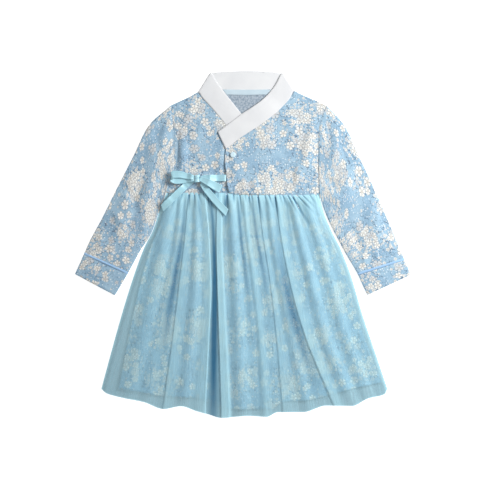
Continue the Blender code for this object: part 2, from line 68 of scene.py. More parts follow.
# Heights of the middle of each wall.
BACK_Z = CLOTH / 2
FRONT_UNDER_Z = BACK_Z + CLOTH + GAP
BAND_BACK_Z = BAND / 2
BAND_UNDER_Z = BAND_BACK_Z + BAND + COLLAR_FOLD_GAP
BAND_OVER_Z = BAND_UNDER_Z + BAND + GAP + 0.1
FRONT_OVER_Z = BAND_UNDER_Z + BAND / 2 + GAP + CLOTH / 2
TULLE_BACK_Z = TULLE / 2
SKIRT_BACK_Z = TULLE + GAP + CLOTH / 2
SKIRT_FRONT_Z = SKIRT_BACK_Z + CLOTH + GAP
TULLE_FRONT_Z = SKIRT_FRONT_Z + CLOTH / 2 + GAP + TULLE / 2
TULLE_SIDE_Z = TULLE + GAP + TULLE / 2


def table(columns, *rows):
    row = collections.namedtuple("Row", columns)
    return [row(*values) for values in rows]


# The sewing lines and outlines, as in the CAD model.
WAIST = table(
    "x y",
    (-123, 83.6), (-70, 83.8), (-24, 83.2), (-10, 80.8), (94, 80.2), (124, 81.8),
)
ARMHOLE_RIGHT = table(
    "x y",
    (-122.3, 83.6), (-120, 106), (-111, 120), (-109, 138), (-109.6, 158), (-112, 195),
    (-116, 222.5),
)
ARMHOLE_LEFT = table(
    "x y",
    (122.2, 81.8), (120.4, 110), (120, 139), (120.3, 162), (122.2, 190), (126.4, 206),
    (134.2, 222.5),
)
UNDERARM_RIGHT = 1
SHOULDER_RIGHT = table("x y", (-116, 222.5), (-102, 229), (-86, 236.5), (-72.5, 244))
SHOULDER_LEFT = table("x y", (134.2, 222.5), (118, 230), (100, 237.5), (82.6, 246))
UNDER_BAND = table(
    "free_x free_y seam_x seam_y z",
    (27, 170, 4, 151, BAND_UNDER_Z),
    (12, 189.5, -11, 170, BAND_UNDER_Z),
    (-3.5, 210.5, -27, 191.5, BAND_UNDER_Z),
    (-17, 227.5, -41, 209, BAND_UNDER_Z),
    (-31.5, 246, -56, 226, BAND_UNDER_Z),
    (-42, 260.5, -65.5, 236.5, BAND_UNDER_Z),
)
RIGHT_FOLD = table("free_x free_y seam_x seam_y", (-53, 275, -72.5, 244))
BACK_BAND = table(
    "free_x free_y seam_x seam_y z",
    (-40, 276.2, -55, 245, BAND_BACK_Z),
    (-18, 277.6, -26, 244.4, BAND_BACK_Z),
    (6, 278.4, 5, 244.2, BAND_BACK_Z),
    (30, 277.8, 38, 244.6, BAND_BACK_Z),
    (50, 276.2, 64, 245.4, BAND_BACK_Z),
)
LEFT_FOLD = table("free_x free_y seam_x seam_y", (64.6, 274.4, 82.6, 246))
OVER_BAND = table(
    "free_x free_y seam_x seam_y z",
    (52, 256, 75, 235, BAND_UNDER_Z),
    (42, 243, 64, 222.6, BAND_UNDER_Z + 0.2),
    (30.5, 231.5, 50, 209, BAND_UNDER_Z + 1.2),
    (14, 219.5, 31, 194.8, BAND_OVER_Z),
    (-2.5, 208.8, 14.5, 183.4, BAND_OVER_Z),
    (-22, 194, -5, 171, BAND_OVER_Z),
    (-40, 180.6, -27.4, 153.6, BAND_OVER_Z),
)
OVER_EDGE = table(
    "x y", (-21.6, 83), (-25.4, 99), (-27, 116), (-29, 137), (-27.6, 153.2)
)
UNDER_EDGE = table("x y", (21, 81), (17, 108), (11, 130), (4.2, 150.6))
LAPPED_TO_X = 30
LAP_RUN = 32
SKIRT_SIDES = table(
    "y right_x left_x right_inset left_inset",
    (82.5, -122.4, 121.8, 5, 5),
    (56, -132.8, 127.8, 6, 6),
    (22, -144.2, 142, 8, 7),
    (-4, -157.5, 155.2, 10, 8),
    (-48, -173.9, 172.4, 13, 8),
    (-108, -192.8, 190, 18, 9),
    (-169, -210, 210.4, 23, 9),
    (-230, -226.5, 231, 28, 10),
)
TULLE_HEM = table(
    "x y",
    (-226.5, -230), (-218, -237), (-190, -244.5), (-158, -251), (-127, -262), (-99, -257.5),
    (-75, -265), (-54, -270.8), (-35, -276), (7, -273), (38, -274.4), (56, -267),
    (95, -267), (134, -256.5), (174, -257), (200, -245), (226, -238.5), (231, -230),
)
PRINTED_HEM = table(
    "x y",
    (-198.5, -229), (-168, -233.6), (-132, -241), (-76, -244.2), (-18, -262), (43, -262.4),
    (66, -250), (100, -248), (176, -229), (221, -219.5),
)
SLEEVE_RIGHT = table(
    "outer_x outer_y inner_x inner_y puff",
    (-116.4, 222.4, -120.6, 106.2, 0.4),
    (-150, 192, -125.0, 80, 1.4),
    (-177, 139, -135.5, 51, 1.8),
    (-203, 88, -147.7, 17, 1.8),
    (-225.5, 43, -163.5, -8, 1.8),
    (-246.5, 4, -177, -33, 1.6),
    (-253.5, -12, -183, -44, 1.2),
)
SLEEVE_LEFT = table(
    "outer_x outer_y inner_x inner_y puff",
    (134.6, 222.4, 122.8, 82, 0.4),
    (162, 192, 130.6, 56, 1.4),
    (184.5, 146, 139.5, 34, 1.8),
    (206.5, 98, 151.5, 10, 1.8),
    (228, 50, 163, -12, 1.8),
    (247.5, 3, 175.5, -33, 1.6),
    (257.5, -21, 182.5, -45, 1.2),
)
CUFF_RIGHT = table(
    "outer_x outer_y inner_x inner_y puff",
    (-254.6, -14.6, -184.4, -46.6, 1.2),
    (-262, -31, -194.4, -63.6, 1.4),
    (-268.6, -46, -204.4, -80.4, 1.4),
)
CUFF_LEFT = table(
    "outer_x outer_y inner_x inner_y puff",
    (258.6, -23.8, 183.8, -47.8, 1.2),
    (264, -36, 191, -64, 1.4),
    (268.6, -47, 198.6, -79.6, 1.4),
)

# Ridges (or troughs, where the height is below 0) of the bodice and sleeves, each from one
# point to another with a bow to its left. Heights and widths are multiplied by the two factors.
CREASE_HEIGHT = 1.8
CREASE_WIDTH = 1.35
CREASES = table(
    "start_x start_y end_x end_y bow width height",
    # The wearer's right front and sleeve.
    (-98, 184, -99, 106, 2, 9, 2.0),
    (-106, 214, -105, 120, -2, 7, -1.4),
    (-80, 232, -97, 190, 3, 8, 1.0),
    (-60, 200, -84, 150, -4, 12, 0.7),
    (-34, 170, -40, 104, 2, 8, 1.0),
    (-88, 96, -46, 128, 4, 8, -0.8),
    (-74, 90, -66, 120, 1, 5, 0.7),
    (-52, 86, -56, 108, -1, 5, 0.6),
    (-104, 88, -98, 112, 1, 5, 0.8),
    (-126, 206, -140, 150, -5, 9, -1.3),
    (-140, 190, -150, 108, 4, 13, 1.5),
    (-122, 190, -128, 120, -2, 8, 1.2),
    (-120, 118, -146, 96, 3, 7, -1.1),
    (-122, 116, -143, 36, 1, 10, -1.8),
    (-138, 124, -162, 46, -2, 9, 1.3),
    (-152, 126, -180, 50, -3, 9, -1.0),
    (-166, 70, -186, 14, -2, 8, -1.0),
    (-178, 122, -206, -4, 5, 15, 1.3),
    (-160, 90, -196, 30, -6, 9, -1.0),
    (-150, 60, -176, -10, 3, 8, 1.0),
    (-196, 96, -170, 64, 3, 6, -0.8),
    (-210, 60, -184, 30, -3, 7, 0.8),
    (-226, 20, -232, -12, 2, 6, 0.7),
    (-206, 6, -212, -26, -1, 5, 0.6),
    (-190, -8, -196, -34, 1, 5, 0.7),
    (-242, 8, -246, -12, 1, 5, 0.6),
    # The wearer's left front and sleeve.
    (110, 206, 104, 108, -4, 11, 1.5),
    (96, 222, 90, 150, 5, 13, -1.1),
    (60, 214, 84, 168, 5, 13, 0.8),
    (30, 180, 66, 140, -6, 14, 0.6),
    (86, 92, 100, 140, 4, 9, 1.2),
    (70, 84, 78, 124, -2, 7, -0.9),
    (-12, 146, -16, 96, 2, 9, 0.9),
    (22, 84, 18, 112, 1, 6, 0.7),
    (44, 84, 48, 106, -1, 5, -0.7),
    (4, 84, 0, 108, 1, 6, 0.6),
    (104, 88, 112, 120, 2, 6, -0.9),
    (132, 206, 138, 140, 4, 9, -1.1),
    (146, 196, 150, 120, -4, 12, 1.2),
    (128, 112, 150, 96, -2, 7, -1.1),
    (130, 92, 156, 62, 3, 8, 1.1),
    (176, 140, 162, 52, -5, 14, 1.3),
    (190, 120, 204, 70, 3, 9, -0.9),
    (206, 76, 226, -8, -4, 15, 1.3),
    (166, 40, 188, -20, 4, 9, -0.9),
    (212, 46, 186, 18, 3, 7, -0.7),
    (232, 14, 240, -16, 1, 6, 0.7),
    (210, 4, 216, -28, -1, 5, 0.6),
    (190, -10, 196, -36, 1, 5, 0.7),
)

# Pleats of the tulle front, each through its place at five heights of STATIONS. A pleat is
# raised, with more layers of net in it. Its left and right edges are crisp or soft, as a share
# of its half width.
STATIONS = (82, 20, -60, -140, -262)
PLEATS = table(
    "a b c d e top_width hem_width left right rise layers",
    (-82, -85.6, -93.6, -101.6, -116, 12, 27, 0.18, 1.8, 2.2, 0.7),
    (-66, -61.5, -60.4, -66, -76, 11, 34, 1.9, 0.12, 2.8, 0.8),
    (-37.2, -37.2, -34.8, -31.4, -26, 10, 19, 0.14, 0.7, 2.8, 1.5),
    (2, 8, 19.5, 28.6, 38.6, 9, 24, 0.8, 1.2, 2.4, 0.7),
    (27, 36, 50, 61, 74, 8, 26, 0.25, 1.9, 2.0, 0.4),
    (56.2, 65.2, 82.4, 106.4, 159, 10, 28, 0.25, 1.8, 2.4, 0.9),
)
# Round ridges between them, which the printed skirt under the net follows.
SWELLS = table(
    "a b c d e top_width hem_width rise",
    (-113, -124, -140, -158, -190, 12, 30, 3.6),
    (-99, -104, -118, -134, -158, 6, 18, 2.2),
    (-75, -74, -76, -82, -96, 8, 18, 3.0),
    (-20, -16, -11, -7, -2, 10, 19, 4.0),
    (40, 47, 60, 76, 104, 7, 15, 2.6),
    (76, 90, 110, 130, 178, 9, 19, 3.6),
    (97, 117, 140, 162, 208, 10, 17, 2.6),
)
# Hollows, which lie deep under the net's overlap. They don't lower the net: each paints shade
# into its colour and adds layers of net. The last two say where down the skirt each is darkest
# and how far it reaches from there.
PAINTED_HOLLOWS = table(
    "a b c d e top_width hem_width depth layers middle reach",
    (-52, -47.4, -45.2, -46, -47.6, 6, 21, 1.15, 3.0, -110, 420),
    (-91, -97, -110, -124, -144, 5, 24, 0.9, 1.0, -50, 200),
    (-72, -66, -65, -68, -84, 6, 9, 0.6, 0.9, 62, 50),
    (-28, -28, -26, -22, -18, 5, 9, 0.8, 1.2, 70, 80),
    (-9, -4, 6, 15, 24, 5, 14, 0.7, 0.7, 0, 200),
    (13, 21, 35, 45, 57, 5, 15, 0.7, 0.6, 0, 180),
    (46, 53, 67, 88, 132, 5, 32, 0.9, 0.9, -100, 190),
    (68, 76, 92, 112, 160, 4, 8, 0.45, 0.5, 50, 80),
    (86, 98, 118, 138, 180, 5, 12, 0.35, 0.4, 60, 70),
)
# Furrows of the gathers, which run out below the waist: where each starts, its slant, half
# width, length and depth, which also sets the painted shade in the furrow.
GATHERS = table(
    "x slant width length depth",
    (-118, -0.4, 2.4, 22, 0.6),
    (-106, -0.34, 2.6, 34, 0.9),
    (-97, -0.26, 1.8, 16, 0.7),
    (-86, -0.06, 2.6, 30, 1.3),
    (-78, 0.04, 2.0, 26, 1.2),
    (-71, 0.12, 2.2, 22, 1.1),
    (-63, 0.14, 1.6, 14, 0.6),
    (-55.6, 0.06, 2.4, 40, 1.3),
    (-49.4, 0.04, 2.0, 30, 1.1),
    (-40.5, 0.0, 1.6, 16, 0.6),
    (-26, 0.04, 2.8, 44, 1.4),
    (-15.4, 0.02, 2.2, 18, 0.9),
    (-5.4, 0.1, 2.0, 36, 1.0),
    (3, 0.1, 1.6, 14, 0.6),
    (8.6, 0.14, 2.2, 30, 1.1),
    (13.4, 0.1, 1.8, 20, 0.9),
    (23.4, 0.14, 2.4, 48, 1.3),
    (34.4, 0.2, 2.0, 20, 0.9),
    (41, 0.3, 2.0, 24, 1.0),
    (50.6, 0.14, 2.6, 44, 1.4),
    (58, 0.2, 1.6, 14, 0.6),
    (63.4, 0.3, 2.2, 22, 1.0),
    (71, 0.5, 2.0, 34, 1.1),
    (77.4, 0.56, 2.8, 58, 1.5),
    (85.6, 0.9, 2.2, 34, 1.1),
    (94.6, 0.9, 2.2, 24, 0.9),
    (106, 0.6, 2.0, 18, 0.7),
    (116, 0.4, 1.8, 16, 0.5),
)
# How high the gathered net puffs up between the furrows.
GATHERED_PUFF = 2.0

# The bow at the wearer's right: each ribbon's middle line, its width and its lift.
TIE = table("x y width lift", (-27.4, 106.8, 10, 0), (-48, 106.8, 10, 0), (-65, 106.8, 8, 0))
TAIL_RIGHT = table(
    "x y width lift",
    (-80.4, 103, 7, 0), (-92, 94, 9.5, 0), (-111, 76, 10, 0), (-129, 58.6, 10, 0),
)
TAIL_LEFT = table(
    "x y width lift",
    (-66.4, 98.6, 6, 0), (-57, 86.5, 9.5, 0), (-42, 68.6, 10, 0), (-25.6, 51.6, 10, 0),
)
LOOP_RIGHT = table(
    "x y width lift",
    (-78.6, 105.0, 6, 0), (-92, 103.0, 8.4, 0), (-105, 102.2, 9.6, 0),
    (-111.6, 104.4, 10.4, 0.8), (-113.8, 108.4, 11, 1.8), (-111.0, 112.2, 11, 2.8),
    (-102, 112.4, 10.4, 3.0), (-91, 110.2, 9, 2.6), (-78.6, 107.4, 7, 1.8),
)
LOOP_LEFT = table(
    "x y width lift",
    (-68.6, 104.4, 6, 0), (-52, 96.8, 9.6, 0), (-40, 90.8, 11.6, 0), (-35.6, 88.9, 12, 1.2),
    (-39, 90.8, 12.4, 2.4), (-52, 98.0, 10.6, 2.8), (-68.6, 106.0, 7, 2.0),
)
KNOT_X, KNOT_Y = -73.4, 105.6
KNOT_SIZE = (9, 11, 5.0)
SNAP_X, SNAP_Y = -16, 144
SNAP_RADIUS = 4.5
SNAP_THICKNESS = 1.2
TAPE_LOW_Y, TAPE_HIGH_Y = 240.4, 248.4

# The frame's origin is the middle of the dress, which these tables' isn't.
SHIFT_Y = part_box("tulle_skirt_back")[0].y / MM - min(row.y for row in TULLE_HEM)


# Curves and surfaces in millimetres, on arrays.


def spline(keys, values):
    """A smooth curve through the values that doesn't overshoot them."""
    keys, values = np.asarray(keys, float), np.asarray(values, float)
    if keys[-1] < keys[0]:
        keys, values = keys[::-1], values[::-1]
    flat = values.ndim == 1
    values = values[:, None] if flat else values
    steps = np.diff(keys)[:, None]
    slopes = np.diff(values, axis=0) / steps
    before = np.concatenate([slopes[:1], slopes])
    after = np.concatenate([slopes, slopes[-1:]])
    product = before * after
    tangents = np.where(product > 0, 2 * product / np.where(product > 0, before + after, 1), 0)

    def at(t):
        t = np.asarray(t, float)
        i = np.clip(np.searchsorted(keys, t) - 1, 0, len(steps) - 1)
        step = steps[i]
        u = np.clip((t - keys[i])[..., None] / step, 0, 1)
        near = values[i] * (1 + 2 * u) * (1 - u) ** 2 + values[i + 1] * u * u * (3 - 2 * u)
        bend = tangents[i] * u * (1 - u) ** 2 - tangents[i + 1] * u * u * (1 - u)
        found = near + bend * step
        return found[..., 0] if flat else found

    return at


def edge(rows, names=("x", "y"), move=(0, 0)):
    """A smooth curve through the rows' points, as a function of 0 to 1 by length."""
    points = np.array([[getattr(r, name) for name in names] for r in rows], float)
    points[:, :2] += move
    lengths = np.linalg.norm(np.diff(points[:, :2], axis=0), axis=1)
    return spline(np.concatenate([[0], np.cumsum(lengths)]) / lengths.sum(), points)


def joined(first, second, split):
    """Two edges that share a corner, run together, with the corner at split."""

    def at(t):
        t = np.asarray(t, float)
        late = (t > split)[..., None]
        return np.where(late, second((t - split) / (1 - split)), first(t / split))

    return at


def backwards(curve):
    return lambda t: curve(1 - np.asarray(t, float))


def bow_of(curve):
    """How far a curve stands off the straight line between its ends."""

    def at(t):
        t = np.asarray(t, float)[..., None]
        return curve(t[..., 0]) - (1 - t) * curve(0) - t * curve(1)

    return at


def patch(bottom, top, left, right):
    """The points at (s, t) of a sheet from bottom to top, whose sides bow as left and right do."""
    left_bow, right_bow = bow_of(left), bow_of(right)

    def points(s, t):
        up, across = t[..., None], s[..., None]
        ruled = (1 - up) * bottom(s) + up * top(s)
        return ruled + (1 - across) * left_bow(t) + across * right_bow(t)

    return points


# How many columns and rows each piece's grid has.
GRIDS = {
    "back_bodice": (120, 80),
    "front_bodice_right": (130, 110),
    "front_bodice_left": (170, 110),
    "collar_band": (250, 18),
    "neck_tape": (90, 8),
    "printed_skirt_back": (90, 70),
    "printed_skirt_front": (180, 130),
    "tulle_skirt_back": (160, 100),
    "tulle_skirt_front": (520, 166),
    "bow_knot": (28, 24),
}


def parameters(node):
    """(s, t) from 0 to 1 over a piece's grid."""
    columns, rows = GRIDS[node]
    return np.meshgrid(np.linspace(0, 1, columns + 1), np.linspace(0, 1, rows + 1))


def run_of(points):
    """How far each point of a line is along it."""
    return np.concatenate([[0], np.cumsum(np.linalg.norm(np.diff(points, axis=0), axis=1))])


def ease(t):
    t = np.clip(t, 0, 1)
    return t * t * (3 - 2 * t)


def bump(distance, half_width):
    """A soft ridge, from 1 on its line to 0 at its half width."""
    return (1 + np.cos(math.pi * np.minimum(np.abs(distance) / half_width, 1))) / 2


def wander(x, y, size, seed):
    """Smooth noise from -1 to 1, whose swells are this far apart."""
    lattice = np.random.default_rng(seed).uniform(-1, 1, (128, 128))
    u, v = np.asarray(x) / size + 64, np.asarray(y) / size + 64
    i, j = np.floor(u).astype(int), np.floor(v).astype(int)
    a, b = ease(u - i), ease(v - j)
    i, j = i % 127, j % 127
    low = lattice[i, j] * (1 - a) + lattice[i + 1, j] * a
    high = lattice[i, j + 1] * (1 - a) + lattice[i + 1, j + 1] * a
    return low * (1 - b) + high * b


waist_y = spline([row.x for row in WAIST], [row.y for row in WAIST])


def waist_line(start_x, end_x, shift):
    """Part of the waist seam, moved up or down."""

    def at(s):
        x = start_x + (end_x - start_x) * np.asarray(s, float)
        return np.stack([x, waist_y(x) + shift], axis=-1)

    return at


def creases(x, y):
    """How far the folds lift a point of the bodice or a sleeve."""
    lift = np.zeros_like(x)
    for row in CREASES:
        run = np.array([row.end_x - row.start_x, row.end_y - row.start_y])
        length = np.linalg.norm(run)
        run = run / length
        along = ((x - row.start_x) * run[0] + (y - row.start_y) * run[1]) / length
        middle = np.sin(math.pi * np.clip(along, 0, 1))
        across = (y - row.start_y) * run[0] - (x - row.start_x) * run[1] - row.bow * middle
        lift += CREASE_HEIGHT * row.height * bump(across, CREASE_WIDTH * row.width) * middle
    return lift


def rolled(distance, reach, drop):
    """How far cloth dips towards a seam at this distance."""
    return -drop * (1 - ease(distance / reach))


def puckers(along, distance, reach, height, seed):
    """Small pulls of the stitches beside a seam."""
    pull = np.sin(along * 1.05 + 2.2 * wander(along, along * 0, 17, seed))
    return height * pull * np.exp(-distance / reach) * (0.6 + 0.4 * wander(along, along, 9, seed))


# Meshes.


def unit(vectors):
    return vectors / np.maximum(np.linalg.norm(vectors, axis=-1, keepdims=True), 1e-9)


def normals_of(middle, wrap):
    """The unit normal at each point of a grid."""
    if wrap:
        across = np.roll(middle, -1, axis=1) - np.roll(middle, 1, axis=1)
    else:
        across = np.gradient(middle, axis=1)
    return unit(np.cross(across, np.gradient(middle, axis=0)))


def ways_out(middle, wrap):
    """The way out of a grid at each point of its edge, and 0 inside."""
    out = np.zeros_like(middle)
    out[0] += unit(middle[0] - middle[1])
    out[-1] += unit(middle[-1] - middle[-2])
    if not wrap:
        out[:, 0] += unit(middle[:, 0] - middle[:, 1])
        out[:, -1] += unit(middle[:, -1] - middle[:, -2])
    return unit(out)


def rim_loops(rows, columns, wrap):
    """The (row, column) places round each rim of a grid, which end where they begin."""
    if wrap:
        over = np.arange(columns + 1)
        return [(0 * over, over), (0 * over + rows - 1, over[::-1])]
    up, over = np.arange(rows), np.arange(columns)
    last_row, last_column = rows - 1 + 0 * over, columns - 1 + 0 * up
    row = np.concatenate([0 * over, up[1:], last_row[1:], up[-2::-1]])
    column = np.concatenate([over, last_column[1:], over[-2::-1], 0 * up[1:]])
    return [(row, column)]


def quads_of(rows, columns, wrap):
    """The grid's faces, with the corner places of each as (row, column), columns unwrapped."""
    across = np.arange(columns if wrap else columns - 1)
    row, column = (a.ravel() for a in np.meshgrid(np.arange(rows - 1), across, indexing="ij"))
    in_row = np.stack([row, row, row + 1, row + 1], axis=1)
    in_column = np.stack([column, column + 1, column + 1, column], axis=1)
    return in_row * columns + in_column % columns, in_row, in_column


def new_object(name, data):
    made = bpy.data.objects.new(name, data)
    bpy.context.scene.collection.objects.link(made)
    return made


def mesh_object(name, points, faces, uvs, materials, material_index, values):
    mesh = bpy.data.meshes.new(name)
    placed = (points + [0, SHIFT_Y, 0]) * MM
    mesh.from_pydata(placed.tolist(), [], faces.tolist())
    layer = mesh.uv_layers.new(name="flat")
    layer.data.foreach_set("uv", (uvs * MM).astype(np.float32).ravel())
    for label, value in values.items():
        data = mesh.attributes.new(label, "FLOAT", "POINT")
        data.data.foreach_set("value", value.astype(np.float32).ravel())
    for material in materials:
        mesh.materials.append(material)
    mesh.polygons.foreach_set("material_index", material_index.astype(np.int32))
    mesh.shade_smooth()
    mesh.update()
    return new_object(name, mesh)


# How far the middle of a rim stands out, as a share of the wall.
RIM_ROUND = 0.32


def shell(name, middle, flat, wall, materials, wrap=False):
    """A cloth wall on a grid of points. flat gives each point's place on the cut cloth, with one
    more column than the points where the grid wraps round. materials are for its top and, where
    there are two, its wrong side. The rim is rounded."""
    rows, columns = middle.shape[:2]
    normals = normals_of(middle, wrap)
    top, bottom = middle + normals * wall / 2, middle - normals * wall / 2
    count = rows * columns
    points = [top.reshape(-1, 3), bottom.reshape(-1, 3)]
    quads, in_row, in_column = quads_of(rows, columns, wrap)
    faces = [quads, quads[:, ::-1] + count]
    uv = flat[in_row, in_column]
    uvs = [uv.reshape(-1, 2), uv[:, ::-1].reshape(-1, 2)]
    marks = [np.zeros(len(quads)), np.full(len(quads), len(materials) - 1)]
    out = ways_out(middle, wrap)
    total = 2 * count
    for row, column in rim_loops(rows, columns, wrap):
        places = row[:-1], column[:-1] % columns
        line = places[0] * columns + places[1]
        ahead = np.roll(line, -1)
        rim = total + np.arange(len(line))
        rim_ahead = np.roll(rim, -1)
        total += len(line)
        points.append(middle[places] + out[places] * wall * RIM_ROUND)
        faces.append(np.stack([ahead, line, rim, rim_ahead], axis=1))
        faces.append(np.stack([rim_ahead, rim, line + count, ahead + count], axis=1))
        near, far = flat[row, column][:-1], flat[row, column][1:]
        strip = np.stack([far, near, near, far], axis=1).reshape(-1, 2)
        uvs += [strip, strip]
        marks += [np.zeros(len(line))] * 2
    return mesh_object(
        name,
        np.concatenate(points),
        np.concatenate(faces),
        np.concatenate(uvs),
        materials,
        np.concatenate(marks),
        {},
    )


def open_sheet(name, middle, flat, material, values):
    """A cloth as one layer of faces, with a value at each point for its material."""
    rows, columns = middle.shape[:2]
    quads, in_row, in_column = quads_of(rows, columns, False)
    uvs = flat[in_row, in_column].reshape(-1, 2)
    marks = np.zeros(len(quads))
    return mesh_object(name, middle.reshape(-1, 3), quads, uvs, [material], marks, values)


def stands_for(made, node):
    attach(made, "root")
    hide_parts(node)


def cloth_piece(made, node):
    """Puts a cloth on the frame's root and hides the part it stands for."""
    stands_for(made, node)


# Node trees.


class Tree:
    """A short way to write a node tree."""

    def __init__(self, tree):
        self.tree = tree

    def put(self, socket, value):
        if isinstance(value, bpy.types.NodeSocket):
            self.tree.links.new(value, socket)
        else:
            socket.default_value = value

    def add(self, kind, inputs=(), **settings):
        made = self.tree.nodes.new(kind)
        for name, value in settings.items():
            setattr(made, name, value)
        for key, value in dict(inputs).items():
            self.put(made.inputs[key], value)
        return made

    def math(self, operation, *values):
        made = self.add("ShaderNodeMath", operation=operation)
        for socket, value in zip(made.inputs, values):
            self.put(socket, value)
        return made.outputs[0]

    def times(self, first, second):
        return self.math("MULTIPLY", first, second)

    def vector(self, operation, *values):
        made = self.add("ShaderNodeVectorMath", operation=operation)
        for socket, value in zip(made.inputs, values):
            self.put(socket, value)
        return made.outputs["Value" if operation in ("LENGTH", "DISTANCE") else "Vector"]

    def scaled(self, vector, scale):
        made = self.add("ShaderNodeVectorMath", operation="SCALE")
        self.put(made.inputs[0], vector)
        self.put(made.inputs["Scale"], scale)
        return made.outputs[0]

    def step(self, value, low, high, most=1.0):
        """From 0 at low to most at high, softly."""
        inputs = {"Value": value, "From Min": low, "From Max": high, "To Max": most}
        made = self.add("ShaderNodeMapRange", inputs, interpolation_type="SMOOTHSTEP")
        return made.outputs["Result"]

    def blend(self, share, first, second):
        made = self.add("ShaderNodeMix", data_type="RGBA")
        for i, value in ((0, share), (6, first), (7, second)):
            self.put(made.inputs[i], value)
        return made.outputs[2]

    def noise(self, place, size, detail=0.0):
        """Noise from 0 to 1 with swells of this size in millimetres."""
        inputs = {"Vector": place, "Scale": 1 / size, "Detail": detail}
        return self.add("ShaderNodeTexNoise", inputs, noise_dimensions="2D").outputs[0]

    def cells(self, place, size, feature="F1", randomness=1.0):
        inputs = {"Vector": place, "Scale": 1 / size, "Randomness": randomness}
        return self.add("ShaderNodeTexVoronoi", inputs, voronoi_dimensions="2D", feature=feature)

    def flat_place(self):
        """The place on the cut cloth, in millimetres."""
        return self.scaled(self.add("ShaderNodeUVMap", uv_map="flat").outputs["UV"], 1 / MM)

    def split(self, vector):
        return self.add("ShaderNodeSeparateXYZ", {"Vector": vector}).outputs


def linear(red, green, blue):
    """A colour as it shows on a screen, from 0 to 255, as the shader's."""
    share = [value / 255 for value in (red, green, blue)]
    return [s / 12.92 if s <= 0.04045 else ((s + 0.055) / 1.055) ** 2.4 for s in share] + [1]


# The cotton print's own sizes.
BOUQUET_SPACING = 46
PETALS = 5
SKY_BLUE = linear(158, 189, 209)
DEEP_BLUE = linear(140, 173, 197)
PALE_BLUE = linear(184, 208, 224)
SHADE_BLUE = linear(126, 156, 180)
GHOST = linear(186, 196, 204)
DOT_WHITE = linear(232, 237, 238)
CREAM = linear(230, 231, 226)
SHADED_CREAM = linear(208, 208, 204)
PETAL_LINE = linear(98, 106, 120)
BLOSSOM_EYE = linear(176, 160, 140)
TWIG = linear(88, 104, 126)


def bouquet_distance(tree, place):
    """How far a place is outside the nearest bouquet, in millimetres."""
    drift = tree.noise(place, 16)
    bent = tree.vector("ADD", place, tree.scaled((1, 0.6, 0), tree.times(drift, 14)))
    near = tree.cells(bent, BOUQUET_SPACING)
    away = tree.times(near.outputs["Distance"], BOUQUET_SPACING)
    spread = tree.split(near.outputs["Color"])[0]
    radius = tree.math("MULTIPLY_ADD", tree.math("POWER", spread, 1.3), 14, 3)
    return tree.math("SUBTRACT", away, radius)


def blossoms_group():
    """One layer of blossoms, each with five notched petals, as a node group."""
    group = bpy.data.node_groups.new("blossoms", "ShaderNodeTree")
    for side, kind, names in (
        ("INPUT", "NodeSocketVector", ("Place", "Offset")),
        ("INPUT", "NodeSocketFloat", ("Cell", "Radius", "Reach", "Strays")),
        ("OUTPUT", "NodeSocketFloat", ("Mask",)),
        ("OUTPUT", "NodeSocketColor", ("Color",)),
    ):
        for name in names:
            group.interface.new_socket(name, in_out=side, socket_type=kind)
    tree = Tree(group)
    given = group.nodes.new("NodeGroupInput").outputs
    per_cell = tree.math("DIVIDE", 1.0, given["Cell"])
    moved = tree.scaled(tree.vector("ADD", given["Place"], given["Offset"]), per_cell)
    near = tree.cells(moved, 1, randomness=0.72)
    seat = near.outputs["Position"]
    dice = tree.split(near.outputs["Color"])
    local = tree.scaled(tree.vector("SUBTRACT", moved, seat), given["Cell"])
    seat_place = tree.vector("SUBTRACT", tree.scaled(seat, given["Cell"]), given["Offset"])
    outside = bouquet_distance(tree, seat_place)
    grown = tree.math("LESS_THAN", outside, given["Reach"])
    stray = tree.math("LESS_THAN", dice[2], given["Strays"])
    shown = tree.math("MAXIMUM", grown, stray)
    away = tree.vector("LENGTH", local)
    x, y, _ = tree.split(local)
    angle = tree.math("ADD", tree.math("ARCTAN2", y, x), tree.times(dice[0], 6.28))
    wave = tree.math("ABSOLUTE", tree.math("COSINE", tree.times(angle, PETALS / 2)))
    size = tree.times(given["Radius"], tree.math("MULTIPLY_ADD", dice[1], 0.4, 0.78))
    lobe = tree.math("MULTIPLY_ADD", tree.math("POWER", wave, 0.75), 0.5, 0.5)
    notched = tree.math("MULTIPLY_ADD", tree.math("POWER", wave, 16.0), -0.13, lobe)
    left = tree.math("SUBTRACT", tree.times(size, notched), away)
    mask = tree.times(tree.step(left, -0.15, 0.25), shown)
    out = tree.math("DIVIDE", away, size)
    tone = tree.blend(tree.step(out, 0.1, 0.75), SHADED_CREAM, CREAM)
    ghostly = tree.step(dice[1], 0.66, 0.9, 0.7)
    tone = tree.blend(ghostly, tone, GHOST)
    parted = tree.times(tree.step(wave, 0.5, 0.12, 0.85), tree.step(out, 0.15, 0.35))
    rimmed = tree.step(tree.math("DIVIDE", left, size), 0.12, 0.03, 0.9)
    tone = tree.blend(tree.math("MAXIMUM", parted, rimmed), tone, PETAL_LINE)
    tone = tree.blend(tree.step(out, 0.22, 0.08, 0.6), tone, BLOSSOM_EYE)
    result = group.nodes.new("NodeGroupOutput")
    tree.put(result.inputs["Mask"], mask)
    tree.put(result.inputs["Color"], tone)
    return group


# Layers of blossoms, from the lowest: cell and radius in millimetres, how far past a bouquet's
# edge they grow, and the share that grows anywhere.
BLOSSOMS = table(
    "offset_x offset_y cell radius reach strays",
    (11, 3, 5.4, 1.7, 10, 0.1),
    (41, 17, 9.0, 3.1, 8, 0.1),
    (3, 71, 11.4, 5.6, 1, 0.04),
    (57, 29, 12.4, 6.0, 0, 0.05),
    (87, 93, 13.2, 6.6, -2, 0.06),
    (23, 51, 23, 7.4, -90, 0.5),
)


